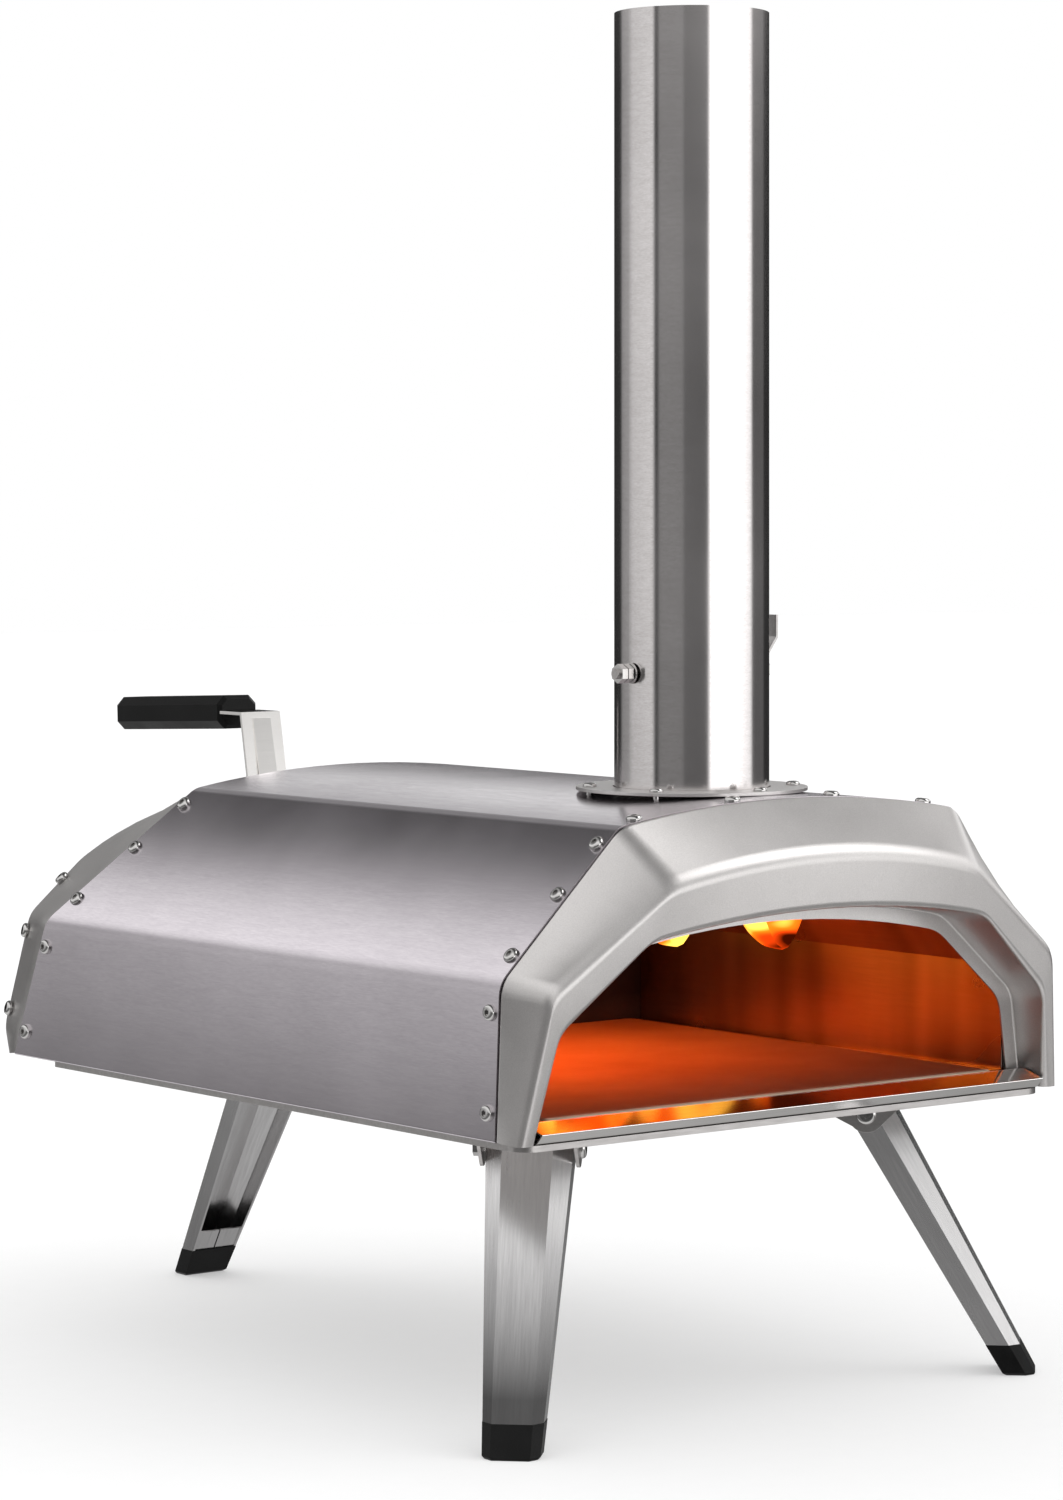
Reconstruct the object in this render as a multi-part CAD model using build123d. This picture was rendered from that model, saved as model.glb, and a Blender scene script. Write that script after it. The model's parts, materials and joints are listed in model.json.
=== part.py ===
from build123d import *
import math
import os

# Portable wood fired pizza oven. Millimetres, +Z up, +X to the right of someone facing the mouth,
# +Y towards the back. The parts are drawn from a point on the ground straight below the chimney's axis,
# and written out from the middle of the oven's overall length, on the ground.

# ---------------------------------------------------------------- driving dimensions
SHEET = 1.0                      # thickness of the folded sheets
FORMED = 1.2                     # thickness of the deep formed sheets
TUCK = 1.1                       # how far a tucked flange sits inside the outer shell's surface

HALF_WIDTH = 200.0               # outer shell, half of its width at the foot
KNEE_LOW = (196.8, 256.0)        # (x, z) of the lower bend of the outer shell
KNEE_HIGH = (126.2, 338.5)       # (x, z) of the upper bend
CROWN = 349.5                    # top of the arched roof
FLOOR_TOP = 170.0                # top of the base tray's floor
SHELL_FOOT = 169.5               # lower edge of the outer shell's sides
FRONT_Y = -70.0                  # front edge of the shell's sides
FRONT_TOP_Y = -86.0              # front edge of its roof
REAR_FOOT_Y = 418.5              # rear edge of the shell's sides at the foot
REAR_KNEE_Y = 386.5
REAR_TOP_Y = 326.0

BACK_Y = 450.0                   # upright rear face of the cap
CAP_FOOT = (184.2, 166.5)        # (x, z) of the cap's outline at its rear face
CAP_LOW = (187.7, 184.6)
CAP_KNEE_LOW = (169.0, 254.5)
CAP_KNEE_HIGH = (131.0, 287.0)
CAP_CROWN = 325.0

LINER_HALF_WIDTH = 178.0         # outside of the inner liner
LINER_KNEE_LOW = (178.0, 243.0)
LINER_KNEE_HIGH = (116.0, 316.0)
LINER_CROWN = 327.0
LINER_FRONT_Y = -74.5
LINER_REAR_Y = 310.0

STONE_SIZE = 335.0
STONE_THICKNESS = 10.0
STONE_FRONT_Y = -79.0
STONE_BOTTOM = FLOOR_TOP + SHEET

CHIMNEY_RADIUS = 45.0
CHIMNEY_TOP = 800.0
CHIMNEY_FOOT = 349.6
SLEEVE_TOP = 394.0
SLEEVE_CLEARANCE = 0.1
COLLAR_RADIUS = 67.3
COLLAR_BOTTOM = 349.6
COLLAR_THICKNESS = 2.0
DAMPER_Z = 418.0
DAMPER_RADIUS = 42.0
SPINDLE_RADIUS = 3.0
RUNNING = 0.05                   # radial clearance of a shaft that turns in its hole

BOX_HALF_WIDTH = 74.0            # fuel box behind the stone
BOX_FRONT_Y = 260.0
BOX_REAR_Y = 446.0
BOX_FLOOR = 172.0
BOX_TOP = 298.0
TRAY_SLOT_TOP = 233.0            # top of the opening that the fuel tray slides through

PIVOT_Z = 155.0                  # leg pivots above the ground
LEG_LEAN = 29.7                  # degrees from upright when unfolded
LEG_TOP = 10.0                   # leg's own axes: pivot at 0, leg hangs down
LEG_END = -175.0
LEG_SHEET = 1.5
FOOT_GAP = 0.05                  # between the leg's cut end and the foot cap
FOOT_CAP_TOP = 18.0              # height of the moulded foot cap, where the leg's sheet is cut level
PIN_RADIUS = 3.0
EAR_GAP = 26.2                   # half of the gap between a bracket's ears
EAR_SHEET = 2.0
LEGS = {                         # pivot place and the turn of the leg's own axes about Z
    "front_left": (-128.5, -11.5, 135.0),
    "front_right": (128.5, -11.5, -135.0),
    "rear": (0.0, 419.0, 0.0),
}

TRAY_HALF_WIDTH = 197.5          # base tray under the whole oven
TRAY_FRONT_Y = -91.0
TRAY_RIM_END_Y = 375.0
TRAY_REAR_Y = 446.0
TRAY_RIM_FOOT = 166.4
TRAY_CORNER = 14.0

HATCH_HALF_WIDTH = 52.0          # opening in the cap's roof
HATCH_Y = (372.0, 436.0)
HATCH_GAP = 1.0
LID_SLOPE = math.degrees(math.atan((CROWN - TUCK - CAP_CROWN) / (BACK_Y - REAR_TOP_Y)))
LID_RAISE = 0.6
LID_TOP = LID_RAISE + 1.0        # top of the lid above the cap's roof

STRAP = 2.0                      # bent strap between the lid and its grip
STRAP_HALF_WIDTH = 15.5
RIB_HALF_WIDTH = 7.0
RISER_Y = 428.0                  # foot of the strap's riser on the lid
GRIP_START = 461.0
GRIP_LENGTH = 125.0
GRIP_HALF_WIDTH = 15.5
GRIP_HALF_HEIGHT = 11.0
GRIP_END_BEVEL = 2.5
GRIP_Z = 377.0
GRIP_DROOP = 2.5                 # degrees
GRIP_SCREW_Y = (480.0, 508.0)
STRAP_SCREW_PLACES = [(x, RISER_Y - 16.0) for x in (-9.5, 9.5)]

COVER_Y = BACK_Y - FORMED        # the fuel tray's cover lies on the back panel
COVER_SHEET = 1.2
PULL_X = 32.0
PULL_Z = 212.0

SCREW_HOLE = 2.15                # radius of the clearance holes
SCREW_MARGIN = 7.0               # from a sheet's edge to the screws along it
CAP_SCREW_LIFT = 0.9             # lifts the cap's screws clear of its slightly hollow sides
BASE_SCREW_PLACES = [(sign * 192.0, y) for sign in (-1, 1) for y in (-40.0, 90.0, 220.0, 350.0)]
COLLAR_SCREW_CIRCLE = 60.0
COLLAR_SCREW_PLACES = [(COLLAR_SCREW_CIRCLE * math.cos(a), COLLAR_SCREW_CIRCLE * math.sin(a))
                       for a in (math.radians(60 * k + 30) for k in range(6))]
BRACKET_SCREWS = [(-15.0, -26.0), (15.0, -26.0), (0.0, 18.0)]      # in the bracket's own axes

ARC_STEPS = 14                   # straight pieces that stand for the roof's arc in formed parts
FRAME_CREST_Y = -123.0           # the front frame's foremost point, at its crown
GRIP_END_Y = (GRIP_START + GRIP_LENGTH * math.cos(math.radians(GRIP_DROOP))
              + (GRIP_HALF_HEIGHT - GRIP_END_BEVEL) * math.sin(math.radians(GRIP_DROOP)))
MIDDLE_Y = (FRAME_CREST_Y + GRIP_END_Y) / 2


# ---------------------------------------------------------------- helpers
def across(outline, y_start, y_end):
    """Solid from an (x, z) outline, running along Y."""
    return extrude(Plane.XZ.offset(-y_start) * outline, amount=y_end - y_start, dir=(0, 1, 0))


def along(outline, x_start, x_end):
    """Solid from a (y, z) outline, running along X."""
    return extrude(Plane.YZ.offset(x_start) * outline, amount=x_end - x_start, dir=(1, 0, 0))


def block(x_range, y_range, z_range):
    """Box between the given limits."""
    lengths = [high - low for low, high in (x_range, y_range, z_range)]
    centre = [(high + low) / 2 for low, high in (x_range, y_range, z_range)]
    return Pos(*centre) * Box(*lengths)


def tube(outer, inner, z_low, z_high):
    """Upright tube about the chimney's axis."""
    wall = Circle(outer) - Circle(inner)
    return extrude(Plane.XY.offset(z_low) * wall, amount=z_high - z_low)


def polygon(points):
    """Closed outline through the points, without moving it."""
    return Polygon(*points, align=None)


def strip(path, thickness):
    """Outline of a bent strip of sheet whose middle follows the path."""
    half = thickness / 2
    left, right = [], []
    for index, point in enumerate(path):
        here = Vector(*point)
        before = Vector(*path[index - 1]) if index > 0 else None
        after = Vector(*path[index + 1]) if index < len(path) - 1 else None
        incoming = (here - before).normalized() if before else (after - here).normalized()
        outgoing = (after - here).normalized() if after else incoming
        normal_in = Vector(-incoming.Y, incoming.X)
        normal_out = Vector(-outgoing.Y, outgoing.X)
        mitre = (normal_in + normal_out).normalized()
        reach = half / mitre.dot(normal_in)
        left.append(here + mitre * reach)
        right.append(here - mitre * reach)
    return polygon([(p.X, p.Y) for p in left + right[::-1]])


def arch_face(half_width, knee_low, knee_high, crown, foot):
    """Arched outline across the body: two sides, two shoulders and a curved top.

    The sides run through half_width at the shell's foot, and on down to the given foot.
    """
    spread = (half_width - knee_low[0]) / (knee_low[1] - SHELL_FOOT)
    half_width += spread * (SHELL_FOOT - foot)
    edges = [
        Line((-half_width, foot), (-knee_low[0], knee_low[1])),
        Line((-knee_low[0], knee_low[1]), (-knee_high[0], knee_high[1])),
        ThreePointArc((-knee_high[0], knee_high[1]), (0, crown), knee_high),
        Line(knee_high, knee_low),
        Line(knee_low, (half_width, foot)),
        Line((half_width, foot), (-half_width, foot)),
    ]
    return make_face(edges)


def shell_face(inset, foot=SHELL_FOOT):
    """The outer shell's outline, moved inwards by inset and cut level at its foot."""
    deep = FLOOR_TOP - 60
    outline = arch_face(HALF_WIDTH, KNEE_LOW, KNEE_HIGH, CROWN, deep)
    if inset:
        outline = offset(outline, -inset, kind=Kind.INTERSECTION)
    return outline - Pos(0, foot - 50) * Rectangle(3 * HALF_WIDTH, 100)


def liner_face(inset, foot=FLOOR_TOP + 0.1):
    """The inner liner's outline, moved inwards by inset."""
    outline = arch_face(LINER_HALF_WIDTH, LINER_KNEE_LOW, LINER_KNEE_HIGH, LINER_CROWN, FLOOR_TOP - 60)
    if inset:
        outline = offset(outline, -inset, kind=Kind.INTERSECTION)
    return outline - Pos(0, foot - 50) * Rectangle(3 * HALF_WIDTH, 100)


def front_y(z):
    """Front edge of the shell at height z: upright below the lower bend, leaning forward above it."""
    share = min(max((z - KNEE_LOW[1]) / (KNEE_HIGH[1] - KNEE_LOW[1]), 0), 1)
    return FRONT_Y + share * (FRONT_TOP_Y - FRONT_Y)


def rear_y(z):
    """Rear edge of the shell at height z."""
    if z < KNEE_LOW[1]:
        share = (KNEE_LOW[1] - z) / (KNEE_LOW[1] - SHELL_FOOT)
        return REAR_KNEE_Y + share * (REAR_FOOT_Y - REAR_KNEE_Y)
    share = min((z - KNEE_LOW[1]) / (KNEE_HIGH[1] - KNEE_LOW[1]), 1)
    return REAR_KNEE_Y + share * (REAR_TOP_Y - REAR_KNEE_Y)


def roof_radius(half_chord, rise):
    """Radius of an arc from half of its chord and its rise."""
    return (half_chord ** 2 + rise ** 2) / (2 * rise)


def roof_z(x, half_chord, knee_z, crown):
    """Height of a circular roof arc at x."""
    radius = roof_radius(half_chord, crown - knee_z)
    return crown - radius + math.sqrt(radius ** 2 - x ** 2)


def cap_roof_z(x, y):
    """Height of the rear cap's roof, ruled between the shell's rear edge and the rear face."""
    share = (y - REAR_TOP_Y) / (BACK_Y - REAR_TOP_Y)
    ahead = roof_z(x, KNEE_HIGH[0], KNEE_HIGH[1], CROWN) - TUCK
    behind = roof_z(x, CAP_KNEE_HIGH[0], CAP_KNEE_HIGH[1], CAP_CROWN)
    return ahead + share * (behind - ahead)


# ---------------------------------------------------------------- formed sheets
def arch_line(side, crown):
    """Points over an arch, from its left foot to its right foot.

    side holds the right side's (x, y, z) points from the foot to the upper bend, and crown is the
    (y, z) of the top. The roof between the upper bends is a circular arc.
    """
    x_knee, y_knee, z_knee = side[-1]
    y_crown, z_crown = crown
    rise = z_crown - z_knee
    roof = []
    for step in range(1, ARC_STEPS):
        x = x_knee * (2 * step / ARC_STEPS - 1)
        z = roof_z(x, x_knee, z_knee, z_crown)
        roof.append((x, y_knee + (y_crown - y_knee) * (z - z_knee) / rise, z))
    left = [(-x, y, z) for x, y, z in side]
    return left + roof + side[::-1]


def facet(a, b, c, d):
    """The face or the two triangles between four corners."""
    corners = []
    for point in (a, b, c, d):
        if not corners or (Vector(*point) - Vector(*corners[-1])).length > 1e-4:
            corners.append(point)
    if len(corners) == 4:
        normal = (Vector(*b) - Vector(*a)).cross(Vector(*c) - Vector(*a)).normalized()
        if abs(normal.dot(Vector(*d) - Vector(*a))) > 1e-6:
            return [make_face(Polyline(a, b, c, close=True)), make_face(Polyline(a, c, d, close=True))]
    return [make_face(Polyline(*corners, close=True))]


def formed_sheet(outer_lines, inner_lines):
    """Closed solid between the outer and the inner surface of a formed sheet."""
    ring = outer_lines + inner_lines[::-1]
    faces = []
    for line, following in zip(ring, ring[1:] + ring[:1]):
        for i in range(len(line) - 1):
            faces += facet(line[i], line[i + 1], following[i + 1], following[i])
    for end in (0, -1):
        for k in range(len(outer_lines) - 1):
            faces += facet(outer_lines[k][end], outer_lines[k + 1][end],
                           inner_lines[k + 1][end], inner_lines[k][end])
    return Solid(Shell([f.face() for f in faces]))


def shell_line(inset, y_of_z, shift, foot, low=None):
    """Line over the shell's own arch, moved inwards by inset and along Y by shift."""
    x_low, z_low = KNEE_LOW[0] - inset, KNEE_LOW[1] - 0.45 * inset
    x_high, z_high = KNEE_HIGH[0] - 0.5 * inset, KNEE_HIGH[1] - inset
    side = [(HALF_WIDTH - inset, y_of_z(foot) + shift, foot)]
    if low:
        side.append((HALF_WIDTH - inset - 0.5, y_of_z(low) + shift, low))
    side += [(x_low, y_of_z(z_low) + shift, z_low), (x_high, y_of_z(z_high) + shift, z_high)]
    return arch_line(side, (y_of_z(CROWN) + shift, CROWN - inset))


def frame_line(foot, low, high, crown):
    """Line over the front frame; each corner is (x, y, z) and the crown is (y, z)."""
    return arch_line([foot, low, high], crown)


def front_frame(screws):
    """Deep formed frame around the mouth, tucked under the shell's front edge."""
    tucked_foot, foot = 172.0, 170.6
    crest = (FRAME_CREST_Y, 321.7)
    t = FORMED
    outer = [
        shell_line(TUCK, front_y, 14.0, tucked_foot),
        shell_line(TUCK, front_y, -0.3, tucked_foot),
        shell_line(-0.3, front_y, -0.9, foot),
        frame_line((203.6, -96.0, foot), (189.0, -107.0, 254.0), (112.4, -118.9, 307.8), crest),
        frame_line((191.9, -95.6, foot), (182.1, -105.4, 229.6), (126.0, -115.0, 277.0), (-122.0, 289.0)),
        frame_line((191.0, -76.2, foot), (183.5, -76.2, 227.0), (127.5, -76.2, 275.0), (-76.2, 288.0)),
        frame_line((181.0, -76.2, foot), (174.0, -76.2, 223.0), (124.0, -76.2, 266.0), (-76.2, 279.0)),
    ]
    inner = [
        shell_line(TUCK + t, front_y, 14.0, tucked_foot),
        shell_line(TUCK + t, front_y, -1.3, tucked_foot),
        shell_line(0.9, front_y, -2.1, foot),
        frame_line((202.0, -94.6, foot), (187.6, -105.4, 253.2), (111.6, -117.2, 306.4), (-121.2, 320.2)),
        frame_line((193.2, -94.4, foot), (183.4, -104.0, 230.2), (126.9, -113.6, 278.2), (-120.6, 290.2)),
        frame_line((192.3, -75.0, foot), (184.8, -75.0, 227.7), (128.4, -75.0, 276.2), (-75.0, 289.2)),
        frame_line((181.0, -75.0, foot), (174.0, -75.0, 223.0), (124.0, -75.0, 266.0), (-75.0, 279.0)),
    ]
    return formed_sheet(outer, inner) - screw_holes(screws)


def cap_line(inset, forward):
    """Line over the rear cap's back edge, moved inwards by inset and forward along Y."""
    y = BACK_Y - forward
    side = [
        (CAP_FOOT[0] - inset, y, CAP_FOOT[1]),
        (CAP_LOW[0] - inset, y, CAP_LOW[1]),
        (CAP_KNEE_LOW[0] - 0.9 * inset, y, CAP_KNEE_LOW[1] - 0.45 * inset),
        (CAP_KNEE_HIGH[0] - 0.6 * inset, y, CAP_KNEE_HIGH[1] - 0.8 * inset),
    ]
    return arch_line(side, (y, CAP_CROWN - inset))


def rear_cap(screws):
    """Tapered hood that closes the back of the shell, with the hatch opening in its roof."""
    foot, low = FLOOR_TOP + 1.2, CAP_LOW[1]
    t = FORMED
    outer = [
        shell_line(TUCK, rear_y, -14.0, foot, low),
        shell_line(TUCK, rear_y, 0.0, foot, low),
        cap_line(0.0, 0.0),
        cap_line(14.0, 0.0),
    ]
    inner = [
        shell_line(TUCK + t, rear_y, -14.0, foot, low),
        shell_line(TUCK + t, rear_y, 0.0, foot, low),
        cap_line(1.3 * t, t),
        cap_line(14.0, t),
    ]
    opening = block((-HATCH_HALF_WIDTH, HATCH_HALF_WIDTH), HATCH_Y, (CAP_CROWN - 30, CROWN + 5))
    return formed_sheet(outer, inner) - opening - screw_holes(screws)


# ---------------------------------------------------------------- screws
def shell_screw_planes(edge_y, margin, roof_places=()):
    """Screw places along one edge of the shell; each plane's normal points out of the sheet."""
    foot = (HALF_WIDTH, SHELL_FOOT)
    stretches = [(foot, KNEE_LOW, z) for z in (185.6, 240.0)]
    stretches += [(KNEE_LOW, KNEE_HIGH, z) for z in (270.0, 302.0, 329.0)]
    planes = []
    for sign in (-1, 1):
        for low, high, z in stretches:
            x = low[0] + (high[0] - low[0]) * (z - low[1]) / (high[1] - low[1])
            normal = (sign * (high[1] - low[1]), 0, low[0] - high[0])
            planes.append(Plane((sign * x, edge_y(z) + margin, z), z_dir=normal))
        for x in roof_places:
            z = roof_z(x, KNEE_HIGH[0], KNEE_HIGH[1], CROWN)
            lean = x / roof_radius(KNEE_HIGH[0], CROWN - KNEE_HIGH[1])
            planes.append(Plane((sign * x, edge_y(z) + margin, z), z_dir=(sign * lean, 0, 1)))
    return planes


def cap_screw_planes():
    """Screws on the rear cap's sides and shoulders, close to its back edge."""
    planes = []
    ahead_low = Vector(HALF_WIDTH - TUCK, rear_y(CAP_LOW[1]), CAP_LOW[1])
    ahead_knee = Vector(KNEE_LOW[0] - TUCK, REAR_KNEE_Y, KNEE_LOW[1])
    ahead_high = Vector(KNEE_HIGH[0] - TUCK / 2, REAR_TOP_Y, KNEE_HIGH[1] - TUCK)
    behind_low = Vector(CAP_LOW[0], BACK_Y, CAP_LOW[1])
    behind_knee = Vector(CAP_KNEE_LOW[0], BACK_Y, CAP_KNEE_LOW[1])
    behind_high = Vector(CAP_KNEE_HIGH[0], BACK_Y, CAP_KNEE_HIGH[1])
    side = (ahead_low, ahead_knee, behind_low, behind_knee)
    shoulder = (ahead_knee, ahead_high, behind_knee, behind_high)
    for (a, b, c, d), share in ((side, 0.16), (side, 0.85), (shoulder, 0.57)):
        ahead = a + (b - a) * share
        behind = c + (d - c) * share
        run = (behind - ahead).normalized()
        climb = (d - c).normalized()
        normal = climb.cross(run) * (-1 if climb.cross(run).X < 0 else 1)
        spot = behind - run * SCREW_MARGIN
        for sign in (-1, 1):
            outwards = (sign * normal.X, normal.Y, normal.Z)
            planes.append(Plane((sign * spot.X, spot.Y, spot.Z), z_dir=outwards))
    return [plane.offset(CAP_SCREW_LIFT) for plane in planes]


def button_screw(plane, head_radius=4.6, head_height=2.7, shank_radius=2.0, shank_length=6.0):
    """Button head screw with a hexagon socket, its head standing on the plane."""
    head = extrude(Circle(head_radius), amount=head_height)
    head = fillet(head.edges().sort_by(Axis.Z)[-1], head_height * 0.75)
    head -= Pos(0, 0, head_height - 1.4) * extrude(RegularPolygon(head_radius * 0.42, 6), amount=2)
    shank = Pos(0, 0, -shank_length) * extrude(Circle(shank_radius), amount=shank_length + 0.2)
    lifted = plane.offset(0.05)
    return lifted * (head + shank)


def screw_holes(planes, radius=SCREW_HOLE, depth=8.0):
    """Cutters for the shanks of the screws on the planes."""
    return [plane * Pos(0, 0, -depth) * extrude(Circle(radius), amount=depth + 2) for plane in planes]


FRONT_SCREWS = shell_screw_planes(front_y, SCREW_MARGIN, roof_places=(37.5, 109.2))
REAR_SCREWS = shell_screw_planes(rear_y, -SCREW_MARGIN)
CAP_SCREWS = cap_screw_planes()


# ---------------------------------------------------------------- body
def outer_shell():
    """Folded outer shell with a narrow hem turned in along each foot."""
    wall = shell_face(0) - shell_face(SHEET, SHELL_FOOT - 20)
    for sign in (-1, 1):
        wall += Pos(sign * 193.0, FLOOR_TOP + SHEET / 2) * Rectangle(13.0, SHEET)
    reach = across(wall, FRONT_TOP_Y - 10, REAR_FOOT_Y + 10)
    side = polygon([
        (FRONT_Y, SHELL_FOOT - 5), (FRONT_Y, KNEE_LOW[1]), (FRONT_TOP_Y, KNEE_HIGH[1]),
        (FRONT_TOP_Y, CROWN + 5), (REAR_TOP_Y, CROWN + 5), (REAR_TOP_Y, KNEE_HIGH[1]),
        (REAR_KNEE_Y, KNEE_LOW[1]), (REAR_FOOT_Y, SHELL_FOOT - 5),
    ])
    body = reach & along(side, -HALF_WIDTH - 5, HALF_WIDTH + 5)
    body -= tube(CHIMNEY_RADIUS + 1, 0.0001, CROWN - 15, CROWN + 5)
    body -= screw_holes(FRONT_SCREWS + REAR_SCREWS)
    body -= [Pos(x, y, FLOOR_TOP) * Cylinder(SCREW_HOLE, 6) for x, y in BASE_SCREW_PLACES]
    body -= [Pos(x, y, CROWN) * Cylinder(SCREW_HOLE, 20) for x, y in COLLAR_SCREW_PLACES]
    return body


def back_panel():
    """Upright panel inside the cap's rear flange, with the slot that the fuel tray slides through."""
    rear = BACK_Y - FORMED - 0.1
    outline = arch_face(CAP_FOOT[0], CAP_KNEE_LOW, CAP_KNEE_HIGH, CAP_CROWN, FLOOR_TOP - 20)
    outline = offset(outline, -3.0, kind=Kind.INTERSECTION)
    panel = across(outline, rear - SHEET, rear)
    panel -= block((-HALF_WIDTH, HALF_WIDTH), (BOX_REAR_Y, BACK_Y), (FLOOR_TOP - 30, FLOOR_TOP + 0.8))
    slot = BOX_HALF_WIDTH - SHEET - 0.5
    return panel - block((-slot, slot), (BOX_REAR_Y, BACK_Y), (BOX_FLOOR + SHEET, TRAY_SLOT_TOP))


def base_tray():
    """Floor pan with a rim turned down round its front and sides, open behind for the rear leg."""
    length = TRAY_RIM_END_Y - TRAY_FRONT_Y
    plan = Pos(0, TRAY_FRONT_Y + length / 2) * Rectangle(2 * TRAY_HALF_WIDTH, length)
    plan = fillet(plan.vertices().sort_by(Axis.Y)[:2], TRAY_CORNER)
    floor = extrude(Plane.XY.offset(FLOOR_TOP - SHEET) * plan, amount=SHEET)
    floor += block((-182, 182), (TRAY_RIM_END_Y, TRAY_REAR_Y), (FLOOR_TOP - SHEET, FLOOR_TOP))
    rim = plan - offset(plan, -SHEET)
    rim = extrude(Plane.XY.offset(TRAY_RIM_FOOT) * rim, amount=FLOOR_TOP - SHEET - TRAY_RIM_FOOT)
    behind = (TRAY_RIM_END_Y - 5, TRAY_RIM_END_Y + 5)
    around_leg = block((-34, 34), behind, (TRAY_RIM_FOOT, FLOOR_TOP - SHEET))
    floor += rim - around_leg
    holes = BASE_SCREW_PLACES + bracket_screw_places()
    return floor - [Pos(x, y, FLOOR_TOP) * Cylinder(SCREW_HOLE, 6) for x, y in holes]


def front_sill():
    """Bright folded strip along the tray's front edge, sloping up to the stone."""
    path = [(-84.0, 170.6), (-92.5, 170.6), (-98.0, 176.4), (-80.7, 181.0), (-80.7, 171.6)]
    return along(strip(path, SHEET), -189.0, 189.0)


def inner_liner():
    """Inner shell around the cooking chamber."""
    sheet = 0.8
    wall = liner_face(0) - liner_face(sheet, FLOOR_TOP - 20)
    body = across(wall, LINER_FRONT_Y, LINER_REAR_Y)
    return body - tube(CHIMNEY_RADIUS, 0.0001, LINER_CROWN - 20, LINER_CROWN + 5)


def insulation_blanket():
    """Ceramic fibre blanket between the inner and the outer shell."""
    room = 1.2
    wall = shell_face(SHEET + room, FLOOR_TOP + 1.5)
    wall -= offset(liner_face(0, FLOOR_TOP - 20), 0.5, kind=Kind.INTERSECTION)
    body = across(wall, -52.0, 305.0)
    return body - tube(CHIMNEY_RADIUS + 2, 0.0001, LINER_CROWN - 20, CROWN + 5) - screw_clearances()


def screw_clearances():
    """Room in the blanket around the collar's screws."""
    return [Pos(x, y, CROWN) * Cylinder(3.5, 34) for x, y in COLLAR_SCREW_PLACES]


def chamber_back_wall():
    """Plate behind the stone with the opening that the flames come through."""
    outline = liner_face(1.1, FLOOR_TOP + 0.1)
    plate = across(outline, 258.0, 259.0)
    gap = BOX_HALF_WIDTH + 0.8
    return plate - block((-gap, gap), (250, 270), (FLOOR_TOP - 5, BOX_TOP + 8))


def stone_rails():
    """Folded rail along each side of the stone: shelf, upstand and ledge against the wall."""
    rails = []
    for sign in (-1, 1):
        path = [(sign * 148.0, 170.5), (sign * 169.3, 170.5), (sign * 169.3, 179.3), (sign * 176.6, 179.3)]
        rails.append(across(strip(path, SHEET), -72.0, 256.5))
    return Compound(children=rails)


def baking_stone():
    """Cordierite stone with eased edges."""
    half = STONE_SIZE / 2
    stone = block((-half, half), (STONE_FRONT_Y, STONE_FRONT_Y + STONE_SIZE),
                  (STONE_BOTTOM, STONE_BOTTOM + STONE_THICKNESS))
    stone = fillet(stone.edges().filter_by(Axis.Z), 6)
    return chamfer(stone.faces().sort_by(Axis.Z)[-1].edges(), 1.0)


# ---------------------------------------------------------------- fuel bay
def fuel_box():
    """Open box that the wood burns in: open in front and on top, with a slot for the tray behind."""
    outer = block((-BOX_HALF_WIDTH, BOX_HALF_WIDTH), (BOX_FRONT_Y, BOX_REAR_Y), (BOX_FLOOR, BOX_TOP))
    inside = BOX_HALF_WIDTH - SHEET
    outer -= block((-inside, inside), (BOX_FRONT_Y - 5, BOX_REAR_Y - SHEET), (BOX_FLOOR + SHEET, BOX_TOP + 5))
    slot = inside - 0.5
    return outer - block((-slot, slot), (BOX_REAR_Y - 5, BOX_REAR_Y + 5), (BOX_FLOOR + SHEET, TRAY_SLOT_TOP))


def fuel_tray():
    """Sliding tray: a shallow pan with a cover plate that shuts the slot in the back."""
    floor = BOX_FLOOR + SHEET + 0.3
    half = BOX_HALF_WIDTH - SHEET - 1.0
    pan = block((-half, half), (BOX_FRONT_Y + 4, COVER_Y), (floor, floor + 10))
    pan -= block((-half + 1, half - 1), (BOX_FRONT_Y + 5, COVER_Y - 2), (floor + 1, floor + 20))
    cover = block((-BOX_HALF_WIDTH - 3, BOX_HALF_WIDTH + 3), (COVER_Y, COVER_Y + COVER_SHEET),
                  (FLOOR_TOP + 3, TRAY_SLOT_TOP + 4))
    for k in range(5):
        cover -= Pos(20.0 * (k - 2), COVER_Y, 190) * Box(10, 8, 3)
    cover -= pull_screw_cutters(SCREW_HOLE)
    return pan + cover


def fuel_grate():
    """Slotted plate on four feet that holds the wood above the tray."""
    level = 192.0
    floor = BOX_FLOOR + 2 * SHEET + 0.3
    grate = block((-68, 68), (276, 440), (level, level + 2))
    for k in range(11):
        grate -= block((-58 + 11 * k, -52 + 11 * k), (288, 428), (level - 5, level + 5))
    for x in (-66, 66):
        for y in (282, 434):
            grate += block((x - 2, x + 2), (y - 6, y + 6), (floor, level))
    return grate


def pull_screw_cutters(radius):
    return [Pos(x, COVER_Y, PULL_Z) * Rot(90, 0, 0) * Cylinder(radius, 12) for x in (-PULL_X, PULL_X)]


def tray_pull():
    """Bent strip handle on the fuel tray's cover."""
    start = COVER_Y + COVER_SHEET
    right = [(16, start + 22), (22, start + 1), (42, start + 1)]
    path = [(-x, y) for x, y in reversed(right)] + right
    pull = extrude(Plane.XY.offset(PULL_Z - 8) * strip(path, 2.0), amount=16, dir=(0, 0, 1))
    return pull - pull_screw_cutters(SCREW_HOLE)


def tray_pull_screws():
    face = COVER_Y + COVER_SHEET + 2.0
    planes = [Plane((x, face, PULL_Z), x_dir=(1, 0, 0), z_dir=(0, 1, 0)) for x in (-PULL_X, PULL_X)]
    return Compound(children=[button_screw(p, shank_length=5) for p in planes])


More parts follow.
